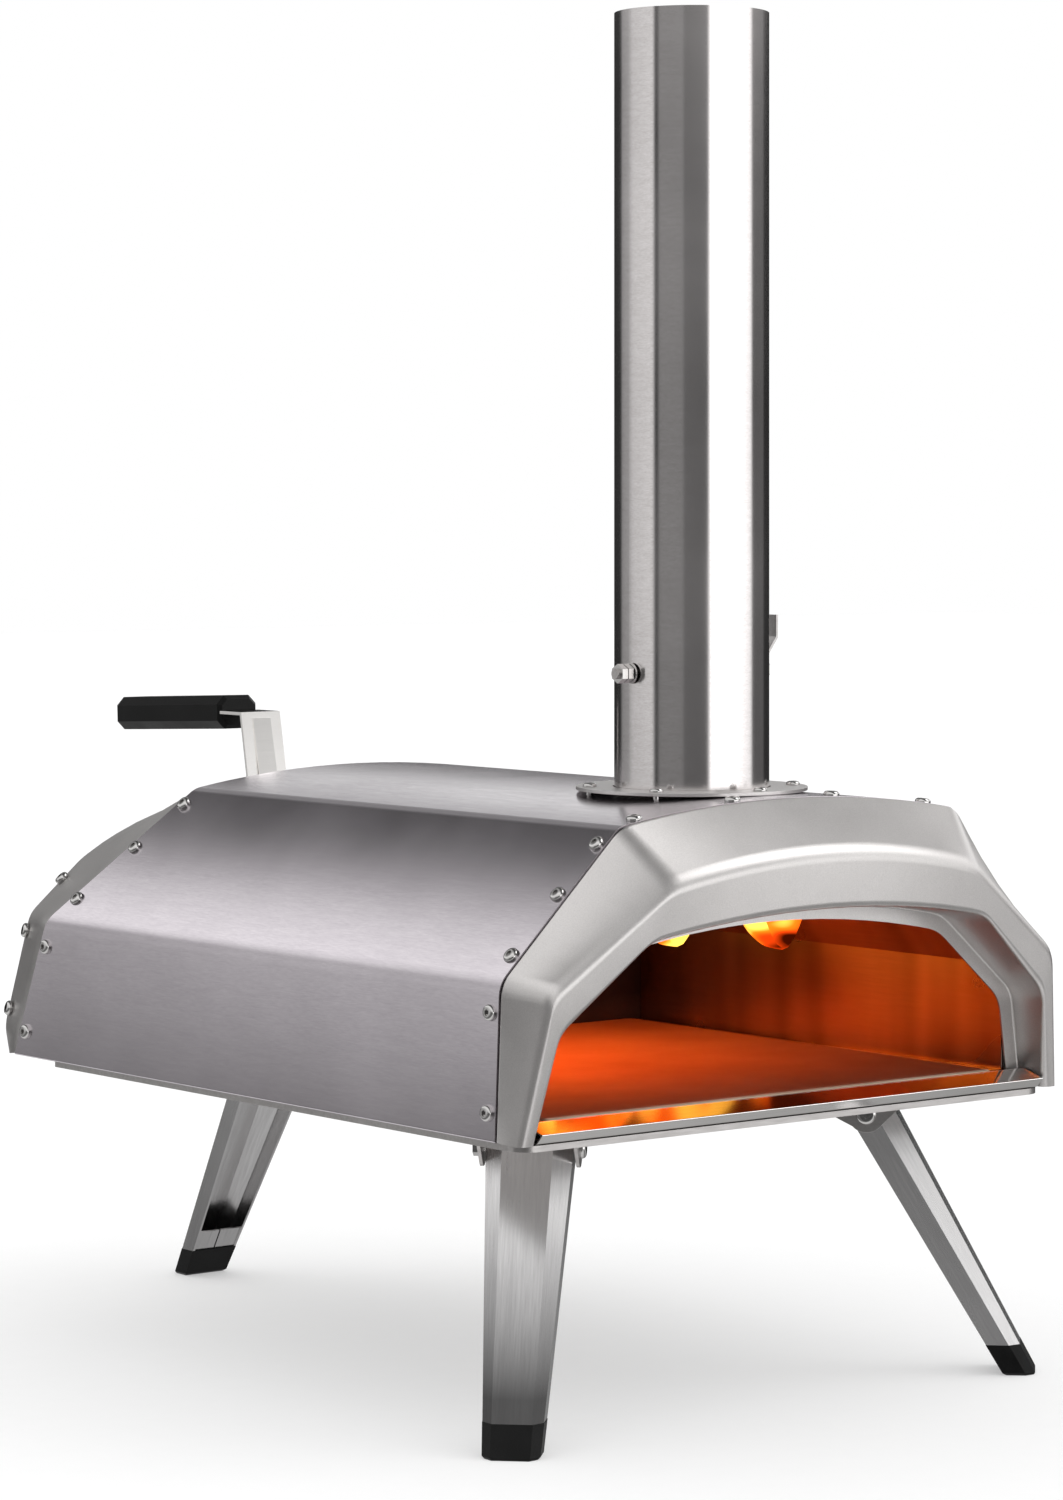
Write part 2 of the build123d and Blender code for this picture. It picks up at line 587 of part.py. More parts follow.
def roof_block(half_width, y_range, raise_top, bottom):
    """Solid under the cap's roof surface; bottom is a level, or None for a sheet LID_TOP thick."""
    x_places = [half_width * (2 * k / 8 - 1) for k in range(9)]
    y_places = [y_range[0], (y_range[0] + y_range[1]) / 2, y_range[1]]
    top = [[(x, y, cap_roof_z(x, y) + raise_top) for x in x_places] for y in y_places]
    if bottom is None:
        base = [[(x, y, cap_roof_z(x, y) + LID_RAISE) for x in x_places] for y in y_places]
    else:
        base = [[(x, y, bottom) for x in x_places] for y in y_places]
    return formed_sheet(top, base)


def fuel_hatch():
    """Lift out lid that follows the cap's roof, with a rim that drops into the opening."""
    half = HATCH_HALF_WIDTH - HATCH_GAP
    y_low, y_high = HATCH_Y[0] + HATCH_GAP, HATCH_Y[1] - HATCH_GAP
    lid = roof_block(HATCH_HALF_WIDTH + 7, (HATCH_Y[0] - 6, HATCH_Y[1] + 6), LID_TOP, None)
    rim = roof_block(half, (y_low, y_high), LID_RAISE + 0.2, 306.0)
    rim -= block((-half + 1, half - 1), (y_low + 1, y_high - 1), (300, CROWN))
    lid = lid + rim
    return lid - screw_holes(strap_screw_planes())


def on_lid(y):
    """Point (y, z) on top of the lid, on the middle line."""
    return (y, cap_roof_z(0, y) + LID_TOP)


def hatch_handle_strap():
    """Bent strap: foot on the lid, ribbed riser and a shelf that runs into the grip."""
    slope = math.radians(LID_SLOPE)
    raise_foot = STRAP / 2 + 0.1
    foot_y, foot_z = on_lid(RISER_Y)
    foot = (foot_y, foot_z + raise_foot)
    ahead = (foot_y - 26 * math.cos(slope), foot[1] + 26 * math.sin(slope))
    shoulder = (foot_y + (GRIP_Z - foot[1]) * math.tan(slope), GRIP_Z)
    body = along(strip([ahead, foot, shoulder, (GRIP_START - 0.6, GRIP_Z)], STRAP),
                 -STRAP_HALF_WIDTH, STRAP_HALF_WIDTH)
    rib_foot = (foot[0] - 1.6, foot[1] + 3)
    rib_top = (shoulder[0] - 1.6, shoulder[1] - 3)
    body += along(strip([rib_foot, rib_top], 1.4), -RIB_HALF_WIDTH, RIB_HALF_WIDTH)
    body += block((-12, 12), (GRIP_START - 1, GRIP_START + 57), (GRIP_Z - STRAP / 2, GRIP_Z + STRAP / 2))
    body -= screw_holes(strap_screw_planes())
    return body - [Pos(0, y, GRIP_Z) * Cylinder(SCREW_HOLE, 8) for y in GRIP_SCREW_Y]


def strap_screw_planes():
    slope = math.radians(LID_SLOPE)
    return [Plane((x, y, on_lid(y)[1] + STRAP + 0.25), z_dir=(0, math.sin(slope), math.cos(slope)))
            for x, y in STRAP_SCREW_PLACES]


def strap_screws():
    planes = strap_screw_planes()
    return Compound(children=[button_screw(p, head_radius=4.0, head_height=2.2) for p in planes])


def hatch_handle_grip():
    """Long black bar with bevelled edges, drooping a little towards its free end."""
    half_w, half_h, bevel = GRIP_HALF_WIDTH, GRIP_HALF_HEIGHT, 5.5
    section = polygon([
        (-half_w, -half_h + bevel), (-half_w + bevel, -half_h), (half_w - bevel, -half_h),
        (half_w, -half_h + bevel), (half_w, half_h - bevel), (half_w - bevel, half_h),
        (-half_w + bevel, half_h), (-half_w, half_h - bevel),
    ])
    bar = across(section, 0, GRIP_LENGTH)
    ends = bar.faces().filter_by(Axis.Y)
    bar = chamfer([edge for face in ends for edge in face.edges()], GRIP_END_BEVEL)
    bar = Pos(0, GRIP_START, GRIP_Z) * Rot(-GRIP_DROOP, 0, 0) * bar
    bar -= block((-12.2, 12.2), (GRIP_START - 5, GRIP_START + 58), (GRIP_Z - 1.1, GRIP_Z + 1.1))
    for y in GRIP_SCREW_Y:
        bar -= Pos(0, y, GRIP_Z - 5) * Cylinder(SCREW_HOLE, 22)
        bar -= Pos(0, y, GRIP_Z - 15) * Cylinder(5.2, 16)
    return bar


def grip_screws():
    """Screws from below that clamp the strap's tongue in the grip."""
    planes = [Plane((0, y, GRIP_Z - 7.0), z_dir=(0, 0, -1)) for y in GRIP_SCREW_Y]
    return Compound(children=[button_screw(p, head_radius=4.2, shank_length=11.5) for p in planes])


# ---------------------------------------------------------------- chimney
def flue_sleeve():
    """Sleeve that the chimney plugs over, with a flange under the liner and a stop bead."""
    outer = CHIMNEY_RADIUS - SHEET - SLEEVE_CLEARANCE
    sleeve = tube(outer, outer - SHEET, 321.5, SLEEVE_TOP)
    sleeve += tube(58.0, outer - SHEET, 320.5, 321.5)
    return sleeve + tube(CHIMNEY_RADIUS - 0.1, outer - SHEET, CHIMNEY_FOOT - 1.6, CHIMNEY_FOOT - 0.1)


def chimney_collar():
    """Flat ring around the foot of the chimney, screwed to the roof."""
    ring = tube(COLLAR_RADIUS, CHIMNEY_RADIUS + 0.9, COLLAR_BOTTOM, COLLAR_BOTTOM + COLLAR_THICKNESS)
    return ring - [Pos(x, y, COLLAR_BOTTOM) * Cylinder(SCREW_HOLE, 10) for x, y in COLLAR_SCREW_PLACES]


def collar_screws():
    top = COLLAR_BOTTOM + COLLAR_THICKNESS
    planes = [Plane((x, y, top)) for x, y in COLLAR_SCREW_PLACES]
    screws = [button_screw(p, head_radius=4.0, head_height=2.2, shank_length=12) for p in planes]
    return Compound(children=screws)


def chimney_tube():
    """Open chimney tube with the damper's two spindle holes."""
    body = tube(CHIMNEY_RADIUS, CHIMNEY_RADIUS - SHEET, CHIMNEY_FOOT, CHIMNEY_TOP)
    hole = Pos(0, 0, DAMPER_Z) * Rot(0, 90, 0) * Cylinder(SPINDLE_RADIUS + RUNNING, 2 * CHIMNEY_RADIUS + 10)
    return body - hole


def damper_screw_cutters(radius):
    return [Pos(x, 0, DAMPER_Z) * Rot(90, 0, 0) * Cylinder(radius, 24) for x in (-22.0, 22.0)]


def damper_spindle():
    """Rod across the chimney that carries the damper plate."""
    rod = Pos(0, 0, DAMPER_Z) * Rot(0, 90, 0) * Cylinder(SPINDLE_RADIUS, 116)
    return rod - damper_screw_cutters(1.3)


def damper_plate():
    """Disc that shuts the chimney when it is turned level; upright, and open, at rest."""
    disc = Pos(0, SPINDLE_RADIUS + 0.7, DAMPER_Z) * Rot(90, 0, 0) * Cylinder(DAMPER_RADIUS, 1.2)
    return disc - damper_screw_cutters(1.3)


def damper_plate_screws():
    """Small screws through the plate and the spindle."""
    face = SPINDLE_RADIUS + 1.3
    planes = [Plane((x, face, DAMPER_Z), x_dir=(1, 0, 0), z_dir=(0, 1, 0)) for x in (-22.0, 22.0)]
    return Compound(children=[
        button_screw(p, head_radius=2.4, head_height=1.4, shank_radius=1.2, shank_length=7) for p in planes])


def damper_lever():
    """Bent strip on the spindle's right end; upright when the damper is open."""
    path = [(52.0, DAMPER_Z - 7), (52.0, DAMPER_Z + 7), (61.0, DAMPER_Z + 19), (61.0, DAMPER_Z + 32)]
    lever = across(strip(path, 1.5), -6, 6)
    return lever - Pos(52, 0, DAMPER_Z) * Rot(0, 90, 0) * Cylinder(SPINDLE_RADIUS + RUNNING, 10)


def damper_nuts():
    """Washers and nuts on both ends of the spindle."""
    washers = [(x, 1.0, Circle(6.0)) for x in (-46.6, 46.8)]
    nuts = [(x, 4.0, RegularPolygon(5.6, 6)) for x in (-49.4, -54.0)]
    nuts += [(x, 3.4, RegularPolygon(5.6, 6)) for x in (49.3, 54.9)]
    fittings = []
    for x, length, outline in washers + nuts:
        ring = outline - Circle(SPINDLE_RADIUS + 0.02)
        fittings.append(Pos(x - length / 2, 0, DAMPER_Z) * Rot(0, 90, 0) * extrude(ring, amount=length))
    return Compound(children=fittings)


# ---------------------------------------------------------------- legs
def leg_section(z, grow=0.0, open_back=0.0):
    """Leg outline at height z in the leg's own axes: flat face outwards, bevels and two flanges."""
    share = (LEG_TOP - z) / (LEG_TOP - LEG_END)
    half = 25.4 - 9.3 * share + grow
    front = 15.0 - 5.0 * share + grow
    back = -10.0 + 3.5 * share - grow - open_back
    bevel = 10.6 - 5.4 * share
    points = [(-half, back), (-half, front - bevel), (-half + bevel, front),
              (half - bevel, front), (half, front - bevel), (half, back)]
    return Plane.XY.offset(z) * polygon(points)


def leg_block(z_high, z_low, grow=0.0, open_back=0.0):
    return loft([leg_section(z_high, grow, open_back), leg_section(z_low, grow, open_back)], ruled=True)


def pivot_hole(radius):
    return Rot(0, 90, 0) * Cylinder(radius, 120)


def below(height):
    """Everything under a height above the ground, in the oven's own axes."""
    return Pos(0, 200, height - 100) * Box(1000, 1400, 200)


def leg_in_own_axes():
    """Tapered pressed channel with rounded ears at the pivot and flaps closing its lower end."""
    channel = leg_block(LEG_TOP, LEG_END) - leg_block(LEG_TOP + 1, LEG_END - 1, -LEG_SHEET, 20)
    below_ear = [(-LEG_TOP, 0), (LEG_TOP, 0), (16, -9), (16, LEG_END), (-LEG_TOP, LEG_END)]
    channel &= along(Circle(LEG_TOP) + polygon(below_ear), -30, 30)
    flap_top, flap_back = -139.0, -6.2
    for sign in (-1, 1):
        flap = block(sorted((sign * 0.5, sign * 16.4)), (flap_back, flap_back + 1.2), (LEG_END, flap_top))
        channel += flap & leg_block(LEG_TOP, LEG_END, -0.3)
    return channel - pivot_hole(PIN_RADIUS + RUNNING)


def place_leg(name, thing, lean=LEG_LEAN):
    """Move a piece from the leg's own axes to the leg's place on the oven."""
    x, y, turn = LEGS[name]
    return Pos(x, y, PIVOT_Z) * Rot(0, 0, turn) * Rot(lean, 0, 0) * thing


def leg(name):
    return place_leg(name, leg_in_own_axes()) - below(FOOT_CAP_TOP)


def foot_cap(name):
    """Moulded foot flush with the leg, with a plug that goes up inside the channel."""
    foot = place_leg(name, leg_block(LEG_END + 60, LEG_END - 30, 0.2))
    foot = foot & below(FOOT_CAP_TOP - FOOT_GAP) - below(0)
    sole = foot.faces().sort_by(Axis.Z)[0]
    foot = chamfer(sole.edges(), 1.5)
    plug = place_leg(name, leg_block(LEG_END + 60, LEG_END - 30, -LEG_SHEET - 0.7))
    return foot + (plug & below(FOOT_CAP_TOP + 8.0) - below(FOOT_CAP_TOP - 2.0))


def bracket_own_axes():
    """Plate bracket: web under the floor and two ears around the leg."""
    top = FLOOR_TOP - SHEET - PIVOT_Z
    web = block((-EAR_GAP - EAR_SHEET, EAR_GAP + EAR_SHEET), (-36, 26), (top - 1.5, top))
    shoulders = [(-40, top), (-38, top - 6), (-8, -7.5), (8, -7.5), (26, top - 4), (28, top)]
    lobe = Circle(11.0) + polygon(shoulders)
    bracket = web
    for sign in (-1, 1):
        ear = along(lobe, *sorted((sign * EAR_GAP, sign * (EAR_GAP + EAR_SHEET))))
        bracket += ear - Pos(0, 0, top + 25) * Box(200, 200, 50)
    return bracket - pivot_hole(PIN_RADIUS + 0.02)


def bracket_screw_places():
    places = []
    for x_pivot, y_pivot, turn in LEGS.values():
        c, d = math.cos(math.radians(turn)), math.sin(math.radians(turn))
        places += [(x_pivot + x * c - y * d, y_pivot + x * d + y * c) for x, y in BRACKET_SCREWS]
    return places


def leg_bracket(name):
    bracket = place_leg(name, bracket_own_axes(), lean=0)
    return bracket - [Pos(x, y, FLOOR_TOP) * Cylinder(SCREW_HOLE, 10) for x, y in bracket_screw_places()]


def leg_pin(name):
    """Pivot bolt with a button head on one ear and a nut on the other."""
    reach = EAR_GAP + EAR_SHEET + 0.1
    pin = Rot(0, 90, 0) * Cylinder(PIN_RADIUS, 2 * reach + 4)
    head = extrude(Circle(6.0), amount=3.2)
    head = fillet(head.edges().sort_by(Axis.Z)[-1], 2.2)
    head -= Pos(0, 0, 1.6) * extrude(RegularPolygon(2.5, 6), amount=3)
    nut = extrude(RegularPolygon(5.6, 6), amount=4.0)
    side = Plane((reach, 0, 0), z_dir=(1, 0, 0))
    other = Plane((-reach, 0, 0), z_dir=(-1, 0, 0))
    flipped = name == "front_left"
    pin += (other if flipped else side) * head
    pin += (side if flipped else other) * nut
    socket = (other if flipped else side) * Pos(0, 0, 1.6) * extrude(RegularPolygon(2.5, 6), amount=6)
    return place_leg(name, pin - socket, lean=0)


def leg_bracket_screws():
    planes = [Plane((x, y, FLOOR_TOP)) for x, y in bracket_screw_places()]
    return Compound(children=[button_screw(p, head_height=0.9, shank_length=2.4) for p in planes])


def base_screws():
    planes = [Plane((x, y, FLOOR_TOP - SHEET), z_dir=(0, 0, -1)) for x, y in BASE_SCREW_PLACES]
    sizes = {"head_radius": 4.0, "head_height": 2.2, "shank_length": 1.8}
    return Compound(children=[button_screw(plane, **sizes) for plane in planes])


def screw_row(planes):
    return Compound(children=[button_screw(plane) for plane in planes])


# ---------------------------------------------------------------- write the parts
NODES = {
    "outer_shell": outer_shell(),
    "front_frame": front_frame(FRONT_SCREWS),
    "rear_cap": rear_cap(REAR_SCREWS + CAP_SCREWS),
    "back_panel": back_panel(),
    "base_tray": base_tray(),
    "front_sill": front_sill(),
    "inner_liner": inner_liner(),
    "insulation_blanket": insulation_blanket(),
    "chamber_back_wall": chamber_back_wall(),
    "stone_rails": stone_rails(),
    "baking_stone": baking_stone(),
    "fuel_box": fuel_box(),
    "fuel_tray": fuel_tray(),
    "fuel_grate": fuel_grate(),
    "tray_pull": tray_pull(),
    "tray_pull_screws": tray_pull_screws(),
    "fuel_hatch": fuel_hatch(),
    "hatch_handle_strap": hatch_handle_strap(),
    "hatch_handle_grip": hatch_handle_grip(),
    "strap_screws": strap_screws(),
    "grip_screws": grip_screws(),
    "flue_sleeve": flue_sleeve(),
    "chimney_collar": chimney_collar(),
    "collar_screws": collar_screws(),
    "chimney_tube": chimney_tube(),
    "damper_spindle": damper_spindle(),
    "damper_plate": damper_plate(),
    "damper_plate_screws": damper_plate_screws(),
    "damper_lever": damper_lever(),
    "damper_nuts": damper_nuts(),
    "leg_bracket_screws": leg_bracket_screws(),
    "base_tray_screws": base_screws(),
    "shell_front_screws": screw_row(FRONT_SCREWS),
    "shell_rear_screws": screw_row(REAR_SCREWS),
    "rear_cap_screws": screw_row(CAP_SCREWS),
}
for side in LEGS:
    NODES[side + "_leg_bracket"] = leg_bracket(side)
    NODES[side + "_leg_pin"] = leg_pin(side)
    NODES[side + "_leg"] = leg(side)
    NODES[side + "_foot_cap"] = foot_cap(side)

os.makedirs("parts", exist_ok=True)
for node, shape in NODES.items():
    solids = [Pos(0, -MIDDLE_Y, 0) * solid for solid in shape.solids()]
    export_step(Compound(children=solids), "parts/" + node + ".step")
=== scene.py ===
"""Looks of the portable wood fired pizza oven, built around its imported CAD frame. Metres, +Z up."""

import json
import math

import bmesh
import bpy
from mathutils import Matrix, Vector


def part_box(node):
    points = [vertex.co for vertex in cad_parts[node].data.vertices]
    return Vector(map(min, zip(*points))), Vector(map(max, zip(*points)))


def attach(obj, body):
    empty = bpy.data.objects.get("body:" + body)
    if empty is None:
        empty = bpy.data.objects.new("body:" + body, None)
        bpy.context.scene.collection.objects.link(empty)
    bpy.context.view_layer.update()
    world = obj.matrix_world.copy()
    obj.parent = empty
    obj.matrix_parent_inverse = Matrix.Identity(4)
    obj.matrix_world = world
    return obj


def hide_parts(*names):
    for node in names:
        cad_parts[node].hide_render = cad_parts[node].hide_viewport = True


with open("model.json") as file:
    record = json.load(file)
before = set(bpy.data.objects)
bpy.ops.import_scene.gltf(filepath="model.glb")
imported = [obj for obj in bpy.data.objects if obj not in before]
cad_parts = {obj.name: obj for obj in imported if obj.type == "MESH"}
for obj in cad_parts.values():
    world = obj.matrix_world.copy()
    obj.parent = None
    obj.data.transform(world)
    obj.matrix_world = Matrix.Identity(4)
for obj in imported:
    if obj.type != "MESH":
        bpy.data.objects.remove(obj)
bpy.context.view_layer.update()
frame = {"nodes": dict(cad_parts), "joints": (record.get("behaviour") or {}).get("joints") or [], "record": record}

MM = 0.001
RECORD = frame["record"]
BODY_OF = {node: body for body, nodes in RECORD["behaviour"]["bodies"].items() for node in nodes}
SLOT_OF = {part["node"]: part["material_slot"] for part in RECORD["subparts"]}
JOINT_OF = {joint["child"]: joint for joint in frame["joints"]}
LEGS = ("front_left", "front_right", "rear")


def middle(node):
    """Centre of a CAD node's box."""
    low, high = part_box(node)
    return (low + high) / 2


AXIS = Vector((0.0, middle("chimney_tube").y, 0.0))      # the chimney's axis, on the ground


# ---------------------------------------------------------------- materials
class Surface:
    """A material, with short calls for the nodes that the recipes below share."""

    def __init__(self, name, **inputs):
        self.material = bpy.data.materials.new(name)
        self.material.use_nodes = True
        self.tree = self.material.node_tree
        self.shader = self.tree.nodes["Principled BSDF"]
        self.place = self.node("TexCoord").outputs["Object"]
        for key, value in inputs.items():
            self.feed(self.shader.inputs[key.replace("_", " ")], value)

    def feed(self, socket, value):
        """Link a socket to another, or set its value."""
        if isinstance(value, bpy.types.NodeSocket):
            self.tree.links.new(value, socket)
        else:
            socket.default_value = value

    def node(self, kind, inputs=None, **settings):
        made = self.tree.nodes.new("ShaderNode" + kind)
        for key, value in settings.items():
            setattr(made, key, value)
        for key, value in (inputs or {}).items():
            self.feed(made.inputs[key], value)
        return made

    def along_axis(self, index):
        """One of the three object coordinates."""
        return self.node("SeparateXYZ", {0: self.place}).outputs[index]

    def height(self):
        return self.along_axis(2)

    def noise(self, vector, scale, detail=2.0, roughness=0.5):
        """Noise between about 0.25 and 0.75."""
        inputs = {"Vector": vector, "Scale": scale, "Detail": detail, "Roughness": roughness}
        return self.node("TexNoise", inputs).outputs["Fac"]

    def stretched(self, scales, vector=None):
        """Object coordinates scaled by a factor for each axis."""
        inputs = {0: vector or self.place, 1: scales}
        return self.node("VectorMath", inputs, operation="MULTIPLY").outputs[0]

    def turned(self, axes):
        """Object coordinates measured along three other axes."""
        measured = self.node("CombineXYZ")
        for socket, axis in zip(measured.inputs, axes):
            self.feed(socket, self.node("VectorMath", {0: self.place, 1: axis}, operation="DOT_PRODUCT").outputs[1])
        return measured.outputs[0]

    def remap(self, value, low, high, to_low, to_high):
        inputs = {"Value": value, "From Min": low, "From Max": high, "To Min": to_low, "To Max": to_high}
        return self.node("MapRange", inputs).outputs["Result"]

    def mix(self, factor, first, second, blend="MIX"):
        """Mix of two colours."""
        node = self.node("Mix", {0: factor, 6: first, 7: second}, data_type="RGBA", blend_type=blend)
        return node.outputs[2]

    def mix_value(self, factor, first, second):
        """Mix of two numbers."""
        return self.node("Mix", {0: factor, 2: first, 3: second}, data_type="FLOAT").outputs[0]

    def maths(self, operation, first, second=0.0):
        return self.node("Math", {0: first, 1: second}, operation=operation).outputs[0]

    def ramp(self, value, stops):
        """Colour ramp through (position, colour) stops."""
        node = self.node("ValToRGB", {"Fac": value})
        elements = node.color_ramp.elements
        while len(elements) < len(stops):
            elements.new(0.5)
        for element, (position, colour) in zip(elements, stops):
            element.position = position
            element.color = colour
        return node.outputs["Color"]

    def bump(self, height, distance, strength=1.0):
        node = self.node("Bump", {"Height": height, "Distance": distance, "Strength": strength})
        self.feed(self.shader.inputs["Normal"], node.outputs["Normal"])


def grey(level, warmth=0.0):
    """Opaque colour near grey; warmth above 0 leans to yellow, below 0 to blue."""
    return (level * (1 + warmth), level, level * (1 - warmth), 1.0)


def rgb(red, green, blue):
    return (red, green, blue, 1.0)


def brushed(name, colour, dark, grain, roughness, aniso=0.0, tangent=None, depth=0.00004, own_axes=None,
            spread=0.1, painted_light=None):
    """Brushed steel. grain scales the object's axes: a small number runs along the brush marks.

    The last argument gives two heights and the brightness at each of them: painted light and shade that scale the
    colour between them.
    """
    s = Surface(name, Metallic=1.0)
    vector = s.turned(own_axes) if own_axes else s.place
    fine = s.noise(s.stretched(grain, vector), 1.0, 3.0, 0.6)
    coarse = s.noise(s.stretched([g * 0.23 for g in grain], vector), 1.0, 2.0, 0.5)
    cloud = s.noise(s.place, 9.0, 3.0, 0.55)
    marks = s.maths("ADD", s.maths("MULTIPLY", fine, 0.65), s.maths("MULTIPLY", coarse, 0.35))
    tone = s.mix(s.remap(marks, 0.3, 0.7, 0.0, 1.0), dark, colour)
    smudge_and_painted_light = s.remap(cloud, 0.3, 0.7, 0.93, 1.05)
    # painted light and shade: the colour is scaled with height between the two given brightnesses
    if painted_light:
        smudge_and_painted_light = s.maths("MULTIPLY", smudge_and_painted_light, s.remap(s.height(), *painted_light))
    tone = s.node("VectorMath", {0: tone, 1: smudge_and_painted_light}, operation="MULTIPLY").outputs[0]
    s.feed(s.shader.inputs["Base Color"], tone)
    rough = s.maths("ADD", s.remap(marks, 0.3, 0.7, roughness + spread / 2, roughness - spread / 2),
                    s.remap(cloud, 0.3, 0.7, -0.02, 0.03))
    s.feed(s.shader.inputs["Roughness"], rough)
    s.shader.inputs["Anisotropic"].default_value = aniso
    if tangent:
        facing = s.node("VectorTransform", {0: tangent}, vector_type="VECTOR",
                        convert_from="OBJECT", convert_to="WORLD")
        s.feed(s.shader.inputs["Tangent"], facing.outputs[0])
    s.bump(marks, depth)
    return s.material


def shell_steel():
    """Outer shell: short fine brush marks along the body and a faint violet tint."""
    return brushed("brushed_shell", rgb(0.66, 0.62, 0.65), rgb(0.57, 0.53, 0.565), (1500, 160, 1500),
                   0.21, aniso=0.4, tangent=(1.0, 0.0, 0.0), depth=0.000010, spread=0.05)


def chimney_steel():
    """Chimney: marks that run round the tube."""
    return brushed("chimney_steel", rgb(0.74, 0.71, 0.71), rgb(0.62, 0.59, 0.58), (420, 420, 1900),
                   0.15, aniso=0.5, tangent=(0.0, 0.0, 1.0), depth=0.000006, spread=0.04)


# Painted light and shade on each leg's steel: two heights in metres and the brightness painted at each of them.
LEG_PAINTED_LIGHT = {"front_left": (0.03, 0.15, 0.12, 1.25), "front_right": (0.02, 0.14, 1.35, 1.30),
            "rear": (0.02, 0.14, 0.85, 1.0)}


def leg_steel(name):
    """Legs: marks along the leg, whose direction comes from its pivot and its foot, with painted light and shade,
    darker towards the foot on two legs.
    """
    joint = JOINT_OF[BODY_OF[name + "_leg"]]
    across = Vector(joint["axis"]).normalized()
    along = (Vector(joint["pos_m"]) - middle(name + "_foot_cap")).normalized()
    return brushed("leg_steel_" + name, rgb(0.72, 0.71, 0.71), rgb(0.58, 0.57, 0.57), (900, 900, 35), 0.24,
                   depth=0.00001, own_axes=(across, along.cross(across), along), spread=0.06,
                   painted_light=LEG_PAINTED_LIGHT[name])


def plain_steel():
    return brushed("plain_steel", rgb(0.60, 0.58, 0.57), rgb(0.46, 0.44, 0.43), (60, 500, 500), 0.34,
                   depth=0.00003)


def polished_steel():
    return brushed("polished_steel", rgb(0.90, 0.88, 0.86), rgb(0.84, 0.82, 0.80), (40, 900, 900), 0.12,
                   depth=0.000004, spread=0.04)


def satin_steel():
    """Bead blasted steel: fine isotropic grain and a soft, nearly diffuse sheen."""
    s = Surface("satin_frame", Metallic=0.93)
    grain = s.noise(s.place, 1500.0, 2.0, 0.6)
    cloud = s.noise(s.place, 14.0, 4.0, 0.6)
    tone = s.mix(s.remap(cloud, 0.3, 0.7, 0.0, 1.0), rgb(0.57, 0.55, 0.54), rgb(0.64, 0.62, 0.61))
    speck = s.remap(grain, 0.3, 0.7, 0.92, 1.06)
    tone = s.node("VectorMath", {0: tone, 1: speck}, operation="MULTIPLY").outputs[0]
    s.feed(s.shader.inputs["Base Color"], tone)
    s.feed(s.shader.inputs["Roughness"], s.remap(cloud, 0.3, 0.7, 0.34, 0.40))
    s.bump(grain, 0.00004)
    return s.material


SOOT_BACK = (0.18, 0.24)        # where soot starts and is thick, in metres behind the chimney's axis
SOOT_CEILING = (0.262, 0.280)    # and the heights


def inner_steel():
    """Chamber steel, tinted straw to blue by the heat and dulled by soot."""
    s = Surface("inner_steel", Metallic=1.0)
    marks = s.noise(s.stretched((500, 30, 500)), 1.0, 3.0, 0.6)
    cloud = s.noise(s.place, 9.0, 2.0, 0.5)
    tint = s.ramp(cloud, [(0.30, rgb(0.48, 0.36, 0.31)), (0.45, rgb(0.58, 0.43, 0.33)),
                          (0.58, rgb(0.62, 0.47, 0.38)), (0.72, rgb(0.52, 0.40, 0.36))])
    tone = s.mix(s.remap(marks, 0.3, 0.7, 0.0, 0.5), tint, rgb(0.66, 0.50, 0.42))
    streaks = s.remap(s.noise(s.stretched((0, 19, 2.0)), 1.0, 2.0, 0.5), 0.35, 0.65, 0.6, 1.3)
    tone = s.node("VectorMath", {0: tone, 1: streaks}, operation="MULTIPLY").outputs[0]
    reach = s.maths("ADD", s.along_axis(1), s.remap(cloud, 0.3, 0.7, -0.03, 0.03))
    back = s.remap(reach, AXIS.y + SOOT_BACK[0], AXIS.y + SOOT_BACK[1], 0.0, 0.95)
    ceiling = s.remap(s.height(), *SOOT_CEILING, 0.0, 0.93)
    soot = s.maths("MAXIMUM", back, ceiling)
    s.feed(s.shader.inputs["Base Color"], s.mix(soot, tone, rgb(0.045, 0.038, 0.035)))
    rough = s.remap(cloud, 0.3, 0.7, 0.22, 0.36)
    s.feed(s.shader.inputs["Roughness"], s.maths("ADD", rough, s.maths("MULTIPLY", soot, 0.3)))
    s.bump(marks, 0.00004)
    return s.material


def bright_fastener():
    """Bright plated screws and nuts, with faint turning marks."""
    s = Surface("bright_fastener", Metallic=1.0)
    wear = s.noise(s.place, 700.0, 3.0, 0.6)
    s.feed(s.shader.inputs["Base Color"], s.mix(wear, rgb(0.46, 0.45, 0.44), rgb(0.62, 0.61, 0.60)))
    s.feed(s.shader.inputs["Roughness"], s.remap(wear, 0.3, 0.7, 0.07, 0.16))
    s.bump(wear, 0.00002)
    return s.material


def cordierite():
    """Fired baking stone: sandy grain, dark specks and scorched patches."""
    s = Surface("cordierite")
    grain = s.noise(s.place, 900.0, 3.0, 0.7)
    cloud = s.noise(s.place, 8.0, 5.0, 0.6)
    tone = s.mix(s.remap(cloud, 0.35, 0.7, 0.0, 1.0), rgb(0.66, 0.55, 0.42), rgb(0.50, 0.39, 0.28))
    fleck = s.node("TexVoronoi", {"Vector": s.place, "Scale": 420.0}).outputs["Distance"]
    speck = s.maths("MULTIPLY", s.remap(fleck, 0.0, 0.16, 1.0, 0.0), s.remap(grain, 0.5, 0.65, 0.0, 0.8))
    s.feed(s.shader.inputs["Base Color"], s.mix(speck, tone, rgb(0.20, 0.14, 0.10)))
    s.feed(s.shader.inputs["Roughness"], s.remap(grain, 0.3, 0.7, 0.75, 0.95))
    s.bump(grain, 0.0002)
    return s.material


